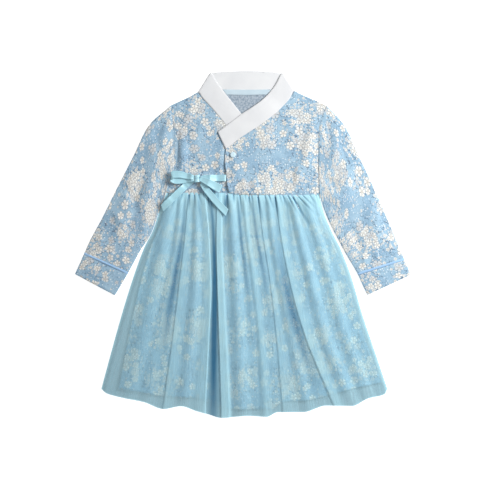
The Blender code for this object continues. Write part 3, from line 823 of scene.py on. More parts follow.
# Pale dots and dark flecks: how many of the cells have one, where it fades as shares of a cell,
# and how much it covers.
SPECKS = table(
    "offset_x offset_y cell share rim core cover colour",
    (0, 0, 3.6, 0.26, 0.28, 0.16, 0.8, DOT_WHITE),
    (5, 9, 4.1, 0.24, 0.24, 0.12, 0.55, TWIG),
)


def cloth_bump(tree, place, weave, wrinkle):
    """The cloth's normal: its weave, and wrinkles too small to model."""
    x, y, _ = tree.split(place)
    threads = [tree.math("SINE", tree.times(axis, 2 * math.pi / weave)) for axis in (x, y)]
    woven = tree.times(*threads)
    crumple = tree.times(tree.noise(place, 7, 2.0), wrinkle)
    height = tree.math("MULTIPLY_ADD", woven, 0.02, crumple)
    bump_node = tree.add("ShaderNodeBump", {"Height": height, "Distance": MM, "Strength": 0.6})
    return bump_node.outputs["Normal"]


def material(name):
    """A new material, its node tree and its Principled shader."""
    made = bpy.data.materials.new(name)
    made.use_nodes = True
    return made, Tree(made.node_tree), made.node_tree.nodes["Principled BSDF"]


def set_inputs(node, values):
    for name, value in values.items():
        node.inputs[name].default_value = value


def dress_shader(tree, shader, tone, roughness, normal=None, sheen=0.0, specular=0.3):
    """Gives a shader its colour, its finish and its normal."""
    tree.put(shader.inputs["Base Color"], tone)
    if normal:
        tree.put(shader.inputs["Normal"], normal)
    values = {"Roughness": roughness, "Sheen Weight": sheen, "Specular IOR Level": specular}
    set_inputs(shader, values)


def print_colour(tree, place, group):
    """The floral print: sky blue with bouquets, single blossoms, buds and twigs."""
    patchy = tree.step(tree.noise(place, 26, 1.0), 0.3, 0.7)
    ground = tree.blend(patchy, DEEP_BLUE, SKY_BLUE)
    ground = tree.blend(tree.step(tree.noise(place, 2.2, 1.0), 0.52, 0.75, 0.5), ground, PALE_BLUE)
    outside = bouquet_distance(tree, place)
    drift = tree.times(tree.noise(place, 5), 6)
    bent = tree.vector("ADD", place, tree.scaled((1, -1, 0), drift))
    crackle = tree.cells(bent, 8.5, feature="DISTANCE_TO_EDGE").outputs["Distance"]
    line = tree.step(crackle, 0.085, 0.04)
    grown = tree.step(outside, 26, 12)
    broken = tree.step(tree.noise(place, 4.5), 0.42, 0.52)
    twigs = tree.times(tree.times(line, grown), broken)
    tone = tree.blend(tree.times(twigs, 0.85), ground, TWIG)
    tone = tree.blend(tree.step(tree.noise(place, 1.7, 1.0), 0.52, 0.8, 0.4), tone, SHADE_BLUE)
    for row in SPECKS:
        near = tree.cells(tree.vector("ADD", place, (row.offset_x, row.offset_y, 0.0)), row.cell)
        grown = tree.math("LESS_THAN", tree.split(near.outputs["Color"])[0], row.share)
        speck = tree.step(near.outputs["Distance"], row.rim, row.core)
        speck = tree.times(tree.times(speck, grown), row.cover)
        tone = tree.blend(speck, tone, row.colour)
    for row in BLOSSOMS:
        layer = tree.add("ShaderNodeGroup", node_tree=group)
        tree.put(layer.inputs["Place"], place)
        set_inputs(layer, {"Offset": (row.offset_x, row.offset_y, 0), "Cell": row.cell})
        set_inputs(layer, {"Radius": row.radius, "Reach": row.reach, "Strays": row.strays})
        tone = tree.blend(layer.outputs["Mask"], tone, layer.outputs["Color"])
    return tone


def floral_cotton():
    made, tree, shader = material("floral_cotton")
    place = tree.flat_place()
    tone = print_colour(tree, place, blossoms_group())
    dress_shader(tree, shader, tone, 0.82, cloth_bump(tree, place, 0.6, 0.5), sheen=0.15)
    return made


def plain_cloth(name, low, high, weave=0.5, wrinkle=0.12):
    """A plain cloth that wanders between two close colours."""
    made, tree, shader = material(name)
    place = tree.flat_place()
    tone = tree.blend(tree.noise(place, 30, 2.0), low, high)
    dress_shader(tree, shader, tone, 0.8, cloth_bump(tree, place, weave, wrinkle), sheen=0.1)
    return made


def wrong_side():
    """The back of the print, which shows through it faintly."""
    made, tree, shader = material("floral_cotton_wrong_side")
    place = tree.flat_place()
    outside = bouquet_distance(tree, place)
    patchy = tree.step(tree.noise(place, 3, 2.0), 0.3, 0.7)
    tone = tree.blend(patchy, linear(134, 150, 166), linear(172, 184, 194))
    tone = tree.blend(tree.step(outside, 3, -3, 0.35), tone, linear(200, 206, 210))
    dress_shader(tree, shader, tone, 0.85, cloth_bump(tree, place, 0.6, 0.4))
    return made


def blue_tulle(name, light, painted_shade_colour, tint):
    """Sheer net. The mesh's cover says how much of what is under it the net hides. Its other value
    says how low the net lies among its folds, and darkens the colour there towards the second
    colour: painted shade."""
    made, tree, shader = material(name)
    place = tree.flat_place()
    cover = tree.add("ShaderNodeAttribute", attribute_name="cover").outputs["Fac"]
    depth = tree.add("ShaderNodeAttribute", attribute_name="depth").outputs["Fac"]
    streaks = tree.noise(tree.vector("MULTIPLY", place, (1.0, 0.06, 0.0)), 1.6, 2.0)
    net = tree.cells(place, 1.1, feature="DISTANCE_TO_EDGE").outputs["Distance"]
    thread = tree.step(net, 0.16, 0.04)
    # Painted shade: the net's colour darkens where it lies low among its folds, in its hollows and
    # furrows.
    tone = tree.blend(depth, light, painted_shade_colour)
    dress_shader(tree, shader, tone, 0.6, sheen=0.25, specular=0.25)
    set_inputs(shader, {"Sheen Roughness": 0.4})
    streaky = tree.math("MULTIPLY_ADD", tree.math("SUBTRACT", streaks, 0.5), 0.28, cover)
    netted = tree.math("MULTIPLY_ADD", tree.math("SUBTRACT", thread, 0.4), 0.12, streaky)
    held = tree.math("MINIMUM", tree.math("MAXIMUM", netted, 0.05), 0.98)
    through = tree.add("ShaderNodeBsdfTransparent", {"Color": tint})
    mixed = tree.add("ShaderNodeMixShader", {0: held, 1: through.outputs[0], 2: shader.outputs[0]})
    tree.put(made.node_tree.nodes["Material Output"].inputs["Surface"], mixed.outputs[0])
    return made


def satin_ribbon():
    made, tree, shader = material("satin_ribbon")
    place = tree.flat_place()
    along = tree.split(place)[0]
    threads = tree.noise(tree.vector("MULTIPLY", place, (0.05, 1.0, 0.0)), 0.5, 2.0)
    # Painted sheen in part: the lengthwise streaks, from a darker to a lighter blue, stand for the
    # satin's sheen lines as well as its threads' own tone.
    tone = tree.blend(threads, linear(148, 200, 216), linear(182, 226, 237))
    rib = tree.math("SINE", tree.times(along, 2 * math.pi / 0.45))
    height = tree.math("MULTIPLY_ADD", rib, 0.012, tree.times(threads, 0.05))
    bump_node = tree.add("ShaderNodeBump", {"Height": height, "Distance": MM, "Strength": 0.7})
    dress_shader(tree, shader, tone, 0.32, bump_node.outputs["Normal"], sheen=0.3, specular=0.6)
    return made


def snap_plastic():
    made, tree, shader = material("snap_cap")
    place = tree.flat_place()
    tone = tree.blend(tree.noise(place, 1.5), linear(196, 222, 234), linear(210, 232, 241))
    dress_shader(tree, shader, tone, 0.3, specular=0.5)
    return made


FLORAL = floral_cotton()
WRONG_SIDE = wrong_side()
WHITE = plain_cloth("white_cotton", linear(212, 214, 217), linear(226, 227, 228))
PIPING_BLUE = plain_cloth("blue_piping", linear(150, 188, 226), linear(164, 200, 234), 0.4)
TAPE_BLUE = plain_cloth("blue_tape", linear(180, 202, 214), linear(200, 216, 225), 0.4, 0.1)
FRONT_TINT = (0.918, 0.986, 1, 1)
BACK_TINT = (0.9, 0.97, 1, 1)
# The front net's second colour is the painted shade of its hollows and furrows.
FRONT_TULLE = blue_tulle("blue_tulle", linear(183, 231, 245), linear(46, 108, 144), FRONT_TINT)
# The back net's colours are greyed and darkened: painted shade, as for a net lying in shade.
SHADED_BACK_TULLE = blue_tulle("blue_tulle_back", linear(146, 164, 174), linear(120, 144, 158), BACK_TINT)
SATIN = satin_ribbon()
SNAP = snap_plastic()


# The bodice.


# Where each piece lies on the printed cloth, so that no two show the same flowers.
PRINT_PLACE = {
    "back_bodice": (400, 0),
    "front_bodice_right": (0, 40),
    "front_bodice_left": (30, -60),
    "sleeve_right": (700, 130),
    "sleeve_left": (1000, 60),
    "cuff_right": (700, 420),
    "cuff_left": (1000, 390),
    "printed_skirt_back": (400, -20),
    "printed_skirt_front": (60, 500),
}


def lifted(xy, z):
    return np.concatenate([xy, z[..., None]], axis=2)


def printed_piece(node, middle, flat, wrap=False):
    """A piece of the printed cotton, at its own place on the print."""
    made = shell(node + "_cloth", middle, flat + PRINT_PLACE[node], CLOTH, [FLORAL], wrap=wrap)
    cloth_piece(made, node)


def sides(xy):
    """The distances to a patch's bottom, top, first and last side."""
    away = (xy - xy[:1], xy - xy[-1:], xy - xy[:, :1], xy - xy[:, -1:])
    return [np.linalg.norm(gap, axis=2) for gap in away]


def surface_noise(x, y, seed):
    return 0.35 * wander(x, y, 30, seed) + 0.16 * wander(x, y, 11, seed + 1)


def seam_side(rows, move):
    return edge(rows, ("seam_x", "seam_y"), move)


def back_bodice():
    neckline = seam_side(RIGHT_FOLD + BACK_BAND + LEFT_FOLD, (0, -STITCHED))
    shoulder_right = edge(SHOULDER_RIGHT, move=(0, -STITCHED))
    shoulder_left = backwards(edge(SHOULDER_LEFT, move=(0, -STITCHED)))
    outline = patch(
        waist_line(ARMHOLE_RIGHT[0].x, ARMHOLE_LEFT[0].x, STITCHED),
        joined(joined(shoulder_right, neckline, split=0.25), shoulder_left, split=0.8),
        edge(ARMHOLE_RIGHT),
        edge(ARMHOLE_LEFT),
    )
    xy = outline(*parameters("back_bodice"))
    hollow = 0.12 * (1 + wander(xy[..., 0], xy[..., 1], 14, 3))
    middle = lifted(xy, BACK_Z + hollow)
    flat = (xy + PRINT_PLACE["back_bodice"])[:, ::-1]
    made = shell("back_bodice_cloth", middle[:, ::-1], flat, CLOTH, [FLORAL, WRONG_SIDE])
    cloth_piece(made, "back_bodice")


# How wide and how deep a front dips at its waist and its neck, and how wide at its armhole.
WAIST_DIP = (4, 0.7)
NECK_DIP = (2.6, 0.5)
ARMHOLE_REACH = 4


def sewn(x, y, waist, top, armhole, armhole_drop, slant, seed):
    """How high a front lies over its base: its creases, and the pull of its three seams."""
    lift = creases(x, y) + surface_noise(x, y, seed)
    lift += rolled(waist, *WAIST_DIP) + rolled(top, *NECK_DIP)
    lift += rolled(armhole, ARMHOLE_REACH, armhole_drop)
    lift += puckers(x, waist, 7, 0.4, seed + 10) + puckers(y, armhole, 6, 0.35, seed + 11)
    return lift + puckers(x + slant * y, top, 5, 0.2, seed + 12)


def front_under():
    shoulder = edge(SHOULDER_RIGHT, move=(0, -STITCHED))
    neckline = seam_side(RIGHT_FOLD + UNDER_BAND[::-1], (-STITCHED, -STITCHED))
    outline = patch(
        waist_line(ARMHOLE_RIGHT[0].x, UNDER_EDGE[0].x, STITCHED),
        joined(shoulder, neckline, split=0.3),
        edge(ARMHOLE_RIGHT),
        edge(UNDER_EDGE),
    )
    xy = outline(*parameters("front_bodice_right"))
    x, y = xy[..., 0], xy[..., 1]
    waist, top, armhole, _ = sides(xy)
    z = FRONT_UNDER_Z + sewn(x, y, waist, top, armhole, 0.8, -1, 11)
    middle = lifted(xy, np.maximum(z, BACK_Z + CLOTH))
    printed_piece("front_bodice_right", middle, xy)


def over_z(x):
    """The over panel comes down onto the back panel past the end of the under one."""
    down = ease((x - LAPPED_TO_X) / LAP_RUN)
    return FRONT_OVER_Z + (FRONT_UNDER_Z - FRONT_OVER_Z) * down


# Where the over front's free edge gapes, beside the tie, and how far in that runs.
GAPES = table("y reach share", (123, 16, 1), (93, 13, 1.2))
GAPE_HEIGHT = 2.4
GAPE_RUN = 8


def front_over():
    neckline = seam_side(OVER_BAND[::-1] + LEFT_FOLD, (STITCHED, -STITCHED))
    shoulder = backwards(edge(SHOULDER_LEFT, move=(0, -STITCHED)))
    outline = patch(
        waist_line(OVER_EDGE[0].x, ARMHOLE_LEFT[0].x, STITCHED),
        joined(neckline, shoulder, split=0.7),
        edge(OVER_EDGE),
        edge(ARMHOLE_LEFT),
    )
    xy = outline(*parameters("front_bodice_left"))
    x, y = xy[..., 0], xy[..., 1]
    waist, top, free, armhole = sides(xy)
    z = over_z(x) + sewn(x, y, waist, top, armhole, 0.6, 1, 31)
    gape = sum(row.share * bump(y - row.y, row.reach) for row in GAPES)
    z += GAPE_HEIGHT * gape * np.exp(-free / GAPE_RUN)
    middle = lifted(xy, np.maximum(z, BACK_Z + CLOTH))
    printed_piece("front_bodice_left", middle, xy)


# The collar band and the tape.


def fold_sections(fold, low_z, high_z, outward):
    """The band's three sections round a shoulder fold, from its low side to its high side."""
    radius = (high_z - low_z) / 2
    sections = []
    for inset, z in ((radius, low_z), (0, low_z + radius), (radius, high_z)):
        shift = -outward * (inset + BAND / 2)
        sections.append((fold.free_x + shift, fold.free_y, fold.seam_x + shift, fold.seam_y, z))
    return sections


def collar_band():
    sections = [tuple(row) for row in UNDER_BAND]
    sections += fold_sections(RIGHT_FOLD[0], BAND_BACK_Z, BAND_UNDER_Z, -1)[::-1]
    sections += [tuple(row) for row in BACK_BAND]
    sections += fold_sections(LEFT_FOLD[0], BAND_BACK_Z, BAND_UNDER_Z, 1)
    sections += [tuple(row) for row in OVER_BAND]
    sections = np.array(sections, float)
    runs = np.linalg.norm(np.diff(sections[:, :2] + sections[:, 2:4], axis=0), axis=1) / 2
    runs = np.maximum(runs, 2.5)
    keys = np.concatenate([[0], np.cumsum(runs)])
    s, t = parameters("collar_band")
    at = spline(keys, sections)(s * keys[-1])
    x = at[..., 0] * (1 - t) + at[..., 2] * t
    y = at[..., 1] * (1 - t) + at[..., 3] * t
    along, across = s * keys[-1], t * 32
    crown = 0.35 * np.sin(math.pi * t) + 0.3 * wander(along, across, 15, 51)
    z = at[..., 4] + crown * (at[..., 4] > BAND_UNDER_Z - 0.1)
    middle = np.stack([x, y, z], axis=2)
    made = shell("collar_band_cloth", middle, np.stack([along, across], axis=2), BAND, [WHITE])
    cloth_piece(made, "collar_band")


def neck_tape():
    low = table("x y", (-26, TAPE_LOW_Y), (6, TAPE_LOW_Y - 0.6), (37.4, TAPE_LOW_Y))
    high = table("x y", (-32, TAPE_HIGH_Y), (6, TAPE_HIGH_Y - 0.6), (44.4, TAPE_HIGH_Y))
    outline = patch(
        edge(low), edge(high), edge([low[0], high[0]]), edge([low[-1], high[-1]])
    )
    s, t = parameters("neck_tape")
    xy = outline(s, t)
    x = xy[..., 0]
    crown = 0.12 * np.sin(math.pi * t) * (1 + wander(x, x, 9, 5))
    z = BAND_BACK_Z + BAND / 2 + GAP + TAPE / 2 + crown
    made = shell("neck_tape_cloth", lifted(xy, z), xy, TAPE, [TAPE_BLUE])
    stands_for(made, "neck_tape")


# Sleeves and cuffs are flattened tubes.

# How many steps one has over its top, round each fold and over its bottom.
TOP_STEPS = 40
FOLD_STEPS = 5
BOTTOM_STEPS = 22
# How many steps each has from end to end.
SLEEVE_STEPS = 150
CUFF_STEPS = 28
PIPING_STEPS = 6
# How far a sleeve and its cuff run under the piping.
CUFF_TUCK = 0.4


def ring_shares():
    """Round a flattened tube from its outer edge over the top: what each point's place across
    takes from the width, its own offset, its height in fold radii, and its share across the top
    or -1."""
    turns = [math.pi * i / FOLD_STEPS for i in range(1, FOLD_STEPS)]
    over = [i / TOP_STEPS for i in range(TOP_STEPS + 1)]
    under = [1 - i / BOTTOM_STEPS for i in range(BOTTOM_STEPS + 1)]
    shares = [(share, 1 - 2 * share, 2, share) for share in over]
    shares += [(1, -1 + math.sin(turn) / 2, 1 + math.cos(turn), -1) for turn in turns]
    shares += [(share, 1 - 2 * share, 0, -1) for share in under]
    shares += [(0, 1 - math.sin(turn) / 2, 1 - math.cos(turn), -1) for turn in turns]
    return np.array(shares).T


def flattened(rows, wall, along, seam=None, lift=None, trim=(0, 0)):
    """The points of a flattened tube through the rows' folded edges, and their places on the
    cut cloth. Its first end follows the curve seam; trim draws its ends in or out."""
    outer = np.array([(r.outer_x, r.outer_y) for r in rows], float)
    inner = np.array([(r.inner_x, r.inner_y) for r in rows], float)
    keys = np.arange(len(rows))
    v = np.linspace(0, 1, along + 1)
    at = v * keys[-1]
    start, end = spline(keys, outer)(at), spline(keys, inner)(at)
    puff = spline(keys, [float(r.puff) for r in rows])(at)
    if any(trim):
        run = np.gradient((start + end) / 2, axis=0)
        run /= np.linalg.norm(run, axis=1, keepdims=True)
        moved = trim[0] * (1 - v)[:, None] ** 4 + trim[1] * v[:, None] ** 4
        start, end = start + run * moved, end + run * moved
    width = np.linalg.norm(end - start, axis=1)
    take, offset, height, share = ring_shares()
    inset = wall / 2 + SLEEVE_FOLD_RADIUS
    across = take[None] * width[:, None] + offset[None] * inset
    place = across / width[:, None]
    xy = start[:, None] + (end - start)[:, None] * place[..., None]
    if seam is not None:
        straight = (1 - place)[..., None] * outer[0] + place[..., None] * inner[0]
        pull = ((1 - v) ** 2)[:, None, None]
        xy = xy + (seam(np.clip(place, 0, 1)) - straight) * pull
    on_top = share >= 0
    hill = np.where(on_top, np.sin(math.pi * np.clip(share, 0, 1)), 0)
    z = wall / 2 + SLEEVE_FOLD_RADIUS * height[None] + puff[:, None] * hill[None] ** 0.7
    if lift is not None:
        z = z + lift(xy[..., 0], xy[..., 1], v[:, None]) * np.minimum(hill[None] * 2.2, 1)
    # The top layer stays on the one under it.
    lowest = wall / 2 + wall * np.minimum(hill * 2.2, 1)
    middle = lifted(xy, np.maximum(z, lowest[None]))
    steps = np.linalg.norm(np.diff(np.concatenate([middle, middle[:, :1]], axis=1), axis=1), axis=2)
    round_it = np.concatenate([np.zeros((len(v), 1)), np.cumsum(steps, axis=1)], axis=1)
    down = run_of((start + end) / 2)
    flat = np.stack(
        [round_it - width[:, None] / 2, np.repeat(down[:, None], round_it.shape[1], axis=1)], axis=2
    )
    return middle, flat


# About how far apart a sleeve's two seams are.
SLEEVE_LENGTH = 235


def sleeve_lift(seed):
    def lift(x, y, v):
        armhole, cuff = v * SLEEVE_LENGTH, (1 - v) * SLEEVE_LENGTH
        folds = creases(x, y) + surface_noise(x, y, seed)
        folds += puckers(y, armhole, 7, 0.4, seed + 2) + puckers(x, cuff, 6, 0.4, seed + 3)
        return folds + rolled(armhole, 5, 1.0) + rolled(cuff, 3, 0.6)

    return lift


def sleeves():
    right_seam = backwards(edge(ARMHOLE_RIGHT[UNDERARM_RIGHT:], move=(-STITCHED, 0)))
    left_seam = backwards(edge(ARMHOLE_LEFT, move=(STITCHED, 0)))
    for node, rows, seam, seed in (
        ("sleeve_right", SLEEVE_RIGHT, right_seam, 61),
        ("sleeve_left", SLEEVE_LEFT, left_seam, 71),
    ):
        trim = (0, CUFF_TUCK)
        middle, flat = flattened(rows, CLOTH, SLEEVE_STEPS, seam, sleeve_lift(seed), trim)
        printed_piece(node, middle, flat, wrap=True)


def between(last, first, share):
    """A row part of the way from the sleeve's last row to the cuff's first."""
    return type(first)(*(a + (b - a) * share for a, b in zip(last, first)))


def piping_lift(x, _, v):
    return 0.7 * np.sin(math.pi * v) + 0 * x


def cuffs():
    for side, sleeve, cuff, seed in (
        ("right", SLEEVE_RIGHT, CUFF_RIGHT, 81),
        ("left", SLEEVE_LEFT, CUFF_LEFT, 91),
    ):
        node = "cuff_" + side
        length = math.dist(cuff[0][:2], cuff[-1][:2])

        def lift(x, y, v, seed=seed, length=length):
            seam, hem = v * length, (1 - v) * length
            waves = 0.3 * wander(x, y, 15, seed) + puckers(x, seam, 5, 0.35, seed + 1)
            return waves + rolled(seam, 3, 0.5) + 0.5 * bump(hem - 3, 3)

        middle, flat = flattened(cuff, CLOTH, CUFF_STEPS, lift=lift, trim=(-CUFF_TUCK, 0))
        printed_piece(node, middle, flat, wrap=True)
        ring = [between(sleeve[-1], cuff[0], share) for share in (0.04, 0.5, 0.96)]
        middle, flat = flattened(ring, PIPING, PIPING_STEPS, lift=piping_lift)
        cord = shell(f"cuff_piping_{side}_cloth", middle, flat, PIPING, [PIPING_BLUE], wrap=True)
        stands_for(cord, "cuff_piping_" + side)


# The skirts.


def skirt_side(name, inset_name=None):
    """A side of the skirt from its waist to its hem, which stands in by an inset."""
    rows = []
    for row in SKIRT_SIDES:
        inset = getattr(row, inset_name) if inset_name else 0
        x = getattr(row, name)
        rows.append((x - math.copysign(inset, x), row.y))
    return table("x y", *rows)


def skirt_outline(hem, right, left):
    """The skirt between its waist and hem. t runs from the hem up."""
    right_side = [r for r in right if r.y > hem[0].y + 8] + [hem[0]]
    left_side = [r for r in left if r.y > hem[-1].y + 8] + [hem[-1]]
    return patch(
        edge(hem),
        waist_line(right[0].x, left[0].x, -STITCHED),
        backwards(edge(right_side)),
        backwards(edge(left_side)),
    )


def down_share(y):
    return np.clip((STATIONS[0] - y) / (STATIONS[0] - STATIONS[-1]), 0, 1)


def across_row(row, x, y):
    """A place's distance from a fold's line, in half widths."""
    centre = spline(STATIONS, [row.a, row.b, row.c, row.d, row.e])(y)
    width = row.top_width + (row.hem_width - row.top_width) * down_share(y)
    return (x - centre) / (width / 2)


# How far below the waist the folds are whole, and the furrows' share in height and in painted shade.
FOLDS_START = 16
FURROW_HEIGHT = 1.7
FURROW_SHADE = 0.85
# The net puffs up this far below the waist, and lies in more layers there.
PUFF_START = 5
PUFF_RUN = 28
WAIST_LAYERS = 2.4
WAIST_LAYERS_RUN = 24


def swells(x, y):
    """How high the round ridges stand."""
    start = ease((waist_y(x) - y) / FOLDS_START)
    lift = np.zeros_like(x)
    for row in SWELLS:
        lift += row.rise * bump(across_row(row, x, y), 2.0) * start
    return lift


def tulle_relief(x, y):
    """(lift, layers, shade) of the gathered net's front: its height, how many more layers lie
    there than one, and how low it lies among its folds, which sets the painted shade of its colour."""
    lift, layers, depth = swells(x, y), np.zeros_like(x), np.zeros_like(x)
    below = waist_y(x) - y
    start = ease(below / FOLDS_START)
    # The hollows lower nothing: they paint shade into the net's colour and add layers.
    for row in PAINTED_HOLLOWS:
        away = across_row(row, x, y)
        share = ease(1 - np.abs(y - row.middle) / row.reach) * (0.35 + 0.65 * start)
        strength = bump(away, 1.5) * share
        layers += row.layers * strength
        depth = np.maximum(depth, row.depth * strength)
    for row in PLEATS:
        away = across_row(row, x, y)
        strength = ease((away + 1) / row.left) * ease((1 - away) / row.right)
        strength *= 0.25 + 0.75 * start
        lift += row.rise * strength * (0.55 + 0.45 * down_share(y))
        layers += row.layers * strength
        depth *= 1 - strength
    below = np.maximum(below, 0)
    for row in GATHERS:
        run = np.clip(below / row.length, 0, 1)
        away = x - row.x - row.slant * below
        furrow = row.depth * bump(away, row.width * (0.8 + 1.6 * run)) * (1 - run)
        lift -= FURROW_HEIGHT * furrow
        # Painted shade in the furrow, besides the lowered net.
        depth = np.maximum(depth, FURROW_SHADE * furrow)
    lift += GATHERED_PUFF * ease(below / PUFF_START) * np.exp(-below / PUFF_RUN)
    layers += WAIST_LAYERS * np.exp(-below / WAIST_LAYERS_RUN)
    return lift, layers, depth


# How much one layer of the net hides, and how far from its sides the front turns down.
LAYER_COVER = 0.36
SIDE_ROUND = 9
# Above 1, more of the front's rows lie near the waist, where the gathers are.
WAIST_CROWDING = 1.25
# The flat skirt's length and the back's width, and how much of the swells the print follows.
SKIRT_LENGTH = 350
BACK_WIDTH = 460
SWELL_SHARE = 0.75


def tulle_front(outline):
    s, t = parameters("tulle_skirt_front")
    t = 1 - (1 - t) ** WAIST_CROWDING
    xy = outline(s, t)
    x, y = xy[..., 0], xy[..., 1]
    lift, layers, depth = tulle_relief(x, y)
    below = np.maximum(waist_y(x) - y, 0)
    hem, _, right, left = sides(xy)
    side = ease(np.minimum(right, left) / SIDE_ROUND)
    z = TULLE_FRONT_Z + (lift + 0.25 * wander(x, y * 0.3, 12, 101)) * side
    z += 0.5 * wander(x, y * 0, 15, 102) * np.exp(-hem / 25)
    z += (TULLE_SIDE_Z - TULLE_FRONT_Z) * (1 - side)
    z += rolled(below, 12, 2.0)
    middle = lifted(xy, np.maximum(z, TULLE))
    tilt = 1 / np.maximum(np.abs(normals_of(middle, False)[..., 2]), 0.35)
    seen = 1 + layers + 1.6 * (1 - ease(np.minimum(right, left) / 5)) + 1.5 * (1 - ease(hem / 2.2))
    cover = 1 - (1 - LAYER_COVER) ** (seen * tilt)
    hem_width = np.linalg.norm(xy[0, -1] - xy[0, 0])
    flat = np.stack([s * hem_width, t * SKIRT_LENGTH], axis=2)
    # The painted shade goes to the net's material along with its cover.
    values = {"cover": cover.ravel(), "depth": depth.ravel()}
    made = open_sheet("tulle_skirt_front_cloth", middle, flat, FRONT_TULLE, values)
    cloth_piece(made, "tulle_skirt_front")


def tulle_back(outline):
    s, t = parameters("tulle_skirt_back")
    xy = outline(s, t)
    x, y = xy[..., 0], xy[..., 1]
    middle = lifted(xy, TULLE_BACK_Z + 0.2 * (1 + wander(x, y * 0.2, 14, 111)))
    flat = np.stack([s * BACK_WIDTH, t * SKIRT_LENGTH], axis=2)
    # How far the back net's colour goes towards its darker, painted shade colour, at random.
    depth = 0.3 + 0.3 * wander(x, y * 0.1, 9, 112)
    values = {"cover": np.full(x.size, 0.9), "depth": depth.ravel()}
    made = open_sheet("tulle_skirt_back_cloth", middle, flat, SHADED_BACK_TULLE, values)
    cloth_piece(made, "tulle_skirt_back")


def skirts():
    net = skirt_outline(TULLE_HEM, skirt_side("right_x"), skirt_side("left_x"))
    tulle_back(net)
    cotton = skirt_outline(
        PRINTED_HEM, skirt_side("right_x", "right_inset"), skirt_side("left_x", "left_inset")
    )
    for node, base, dip, under in (
        ("printed_skirt_back", SKIRT_BACK_Z, 1.3, "tulle_skirt_back_cloth"),
        ("printed_skirt_front", SKIRT_FRONT_Z, 1.6, "printed_skirt_back_cloth"),
    ):
        xy = cotton(*parameters(node))
        x, y = xy[..., 0], xy[..., 1]
        below = np.maximum(waist_y(x) - y, 0)
        z = base + 0.2 * wander(x, y * 0.4, 24, 121) + rolled(below, 14, dip)
        if base == SKIRT_FRONT_Z:
            z += SWELL_SHARE * swells(x, y)
        printed_piece(node, lifted(xy, np.maximum(z, CLOTH / 2)), xy)
    tulle_front(net)


# The ribbons lie on whatever is under them.


def height_under(x, y):
    """The top of the cloth at a place, in millimetres."""
    graph = bpy.context.evaluated_depsgraph_get()
    above = Vector((x * MM, (y + SHIFT_Y) * MM, 1))
    hit, place, *_ = bpy.context.scene.ray_cast(graph, above, Vector((0, 0, -1)))
    return place.z / MM if hit else 0


RIBBON_WIDTH = 10
RIBBON_COLUMNS = 12
# How steeply a ribbon comes down beside what it crosses, and how far from its ends a slant runs.
RIBBON_FALL = 0.6
SLANT_RUN = 8


def ribbon(node, rows, steps, curl=0.5, skew=(0, 0)):
    """A satin ribbon along the rows' middle line, held above what it crosses. Its edges curl, and
    skew cuts its ends at a slant."""
    path = edge(rows, ("x", "y", "width", "lift"))
    places = path(np.linspace(0, 1, steps + 1))
    points, widths, lifts = places[:, :2], places[:, 2], places[:, 3]
    ahead = np.gradient(points, axis=0)
    chord = points[np.argmax(np.linalg.norm(points - points[0], axis=1))] - points[0]
    ahead = np.where((ahead @ chord)[:, None] < 0, -ahead, ahead) + chord * 0.05
    ahead /= np.linalg.norm(ahead, axis=1)[:, None]
    across = np.stack([-ahead[:, 1], ahead[:, 0]], axis=1)
    under = np.array(
        [
            max(height_under(*(p + side * width * share)) for share in (-0.5, -0.25, 0, 0.25, 0.5))
            for p, side, width in zip(points, across, widths)
        ]
    )
    gaps = np.linalg.norm(points[:, None] - points[None], axis=2)
    heights = (under[None] - RIBBON_FALL * gaps).max(axis=1)
    kernel = np.ones(5) / 5
    smooth = np.convolve(np.pad(heights, 2, mode="edge"), kernel, mode="valid")
    heights = np.maximum(heights, smooth) + GAP + RIBBON / 2 + lifts
    t = np.linspace(-0.5, 0.5, RIBBON_COLUMNS + 1)
    run = run_of(places[:, [0, 1, 3]])
    stops = [0, SLANT_RUN, run[-1] - SLANT_RUN, run[-1]]
    slant = np.interp(run, stops, [skew[0], 0, 0, skew[1]])
    xy = points[:, None] + across[:, None] * (widths[:, None] * t[None])[..., None]
    xy = xy + ahead[:, None] * (slant[:, None] * t[None])[..., None]
    z = heights[:, None] + curl * (2 * np.abs(t[None])) ** 3 * (widths[:, None] / RIBBON_WIDTH)
    z = z + 0.12 * np.sin(run[:, None] / 5 + 3 * t[None])
    middle = lifted(xy, z)
    flat = np.stack(np.meshgrid(run, t * RIBBON_WIDTH, indexing="ij"), axis=2)
    made = shell(node + "_cloth", middle, flat, RIBBON, [SATIN])
    cloth_piece(made, node)
    bpy.context.view_layer.update()


def knot():
    """The ribbon's turn over the bow's middle, drawn in at both sides."""
    s, t = parameters("bow_knot")
    turn = math.pi * (s - 0.5) * 1.15
    pinch = 1 - 0.18 * np.cos(math.pi * (t - 0.5)) ** 2
    half = KNOT_SIZE[0] / 2
    floor = height_under(KNOT_X, KNOT_Y)
    x = KNOT_X + half * np.sin(turn) * pinch
    y = KNOT_Y + (t - 0.5) * KNOT_SIZE[1] + 0.8 * np.sin(turn)
    rise = KNOT_SIZE[2] - RIBBON
    z = floor + 0.2 + rise * (0.25 + 0.75 * np.cos(turn)) + 0.25 * np.sin(9 * t + 2 * s) * np.cos(turn)
    middle = np.stack([x, y, z], axis=2)
    flat = np.stack([s * 20, t * 12], axis=2)
    made = shell("bow_knot_cloth", middle, flat, RIBBON, [SATIN])
    cloth_piece(made, "bow_knot")


def bow():
    ribbon("tie_left", TIE, steps=40, curl=0.3)
    ribbon("tie_tail_right", TAIL_RIGHT, steps=60, skew=(0, 5))
    ribbon("tie_tail_left", TAIL_LEFT, steps=60, skew=(0, -5))
    ribbon("bow_loop_right", LOOP_RIGHT, steps=90)
    ribbon("bow_loop_left", LOOP_LEFT, steps=80)
    knot()


# A snap cap is turned from this profile, as shares of its radius and thickness.
SNAP_PROFILE = table(
    "out up", (0.0, 0.92), (0.5, 1.0), (0.72, 0.86), (0.86, 0.78), (0.97, 0.45), (1.0, 0.1), (0.9, 0.0)
)


SNAP_COLUMNS = 48
SNAP_ROWS = 24


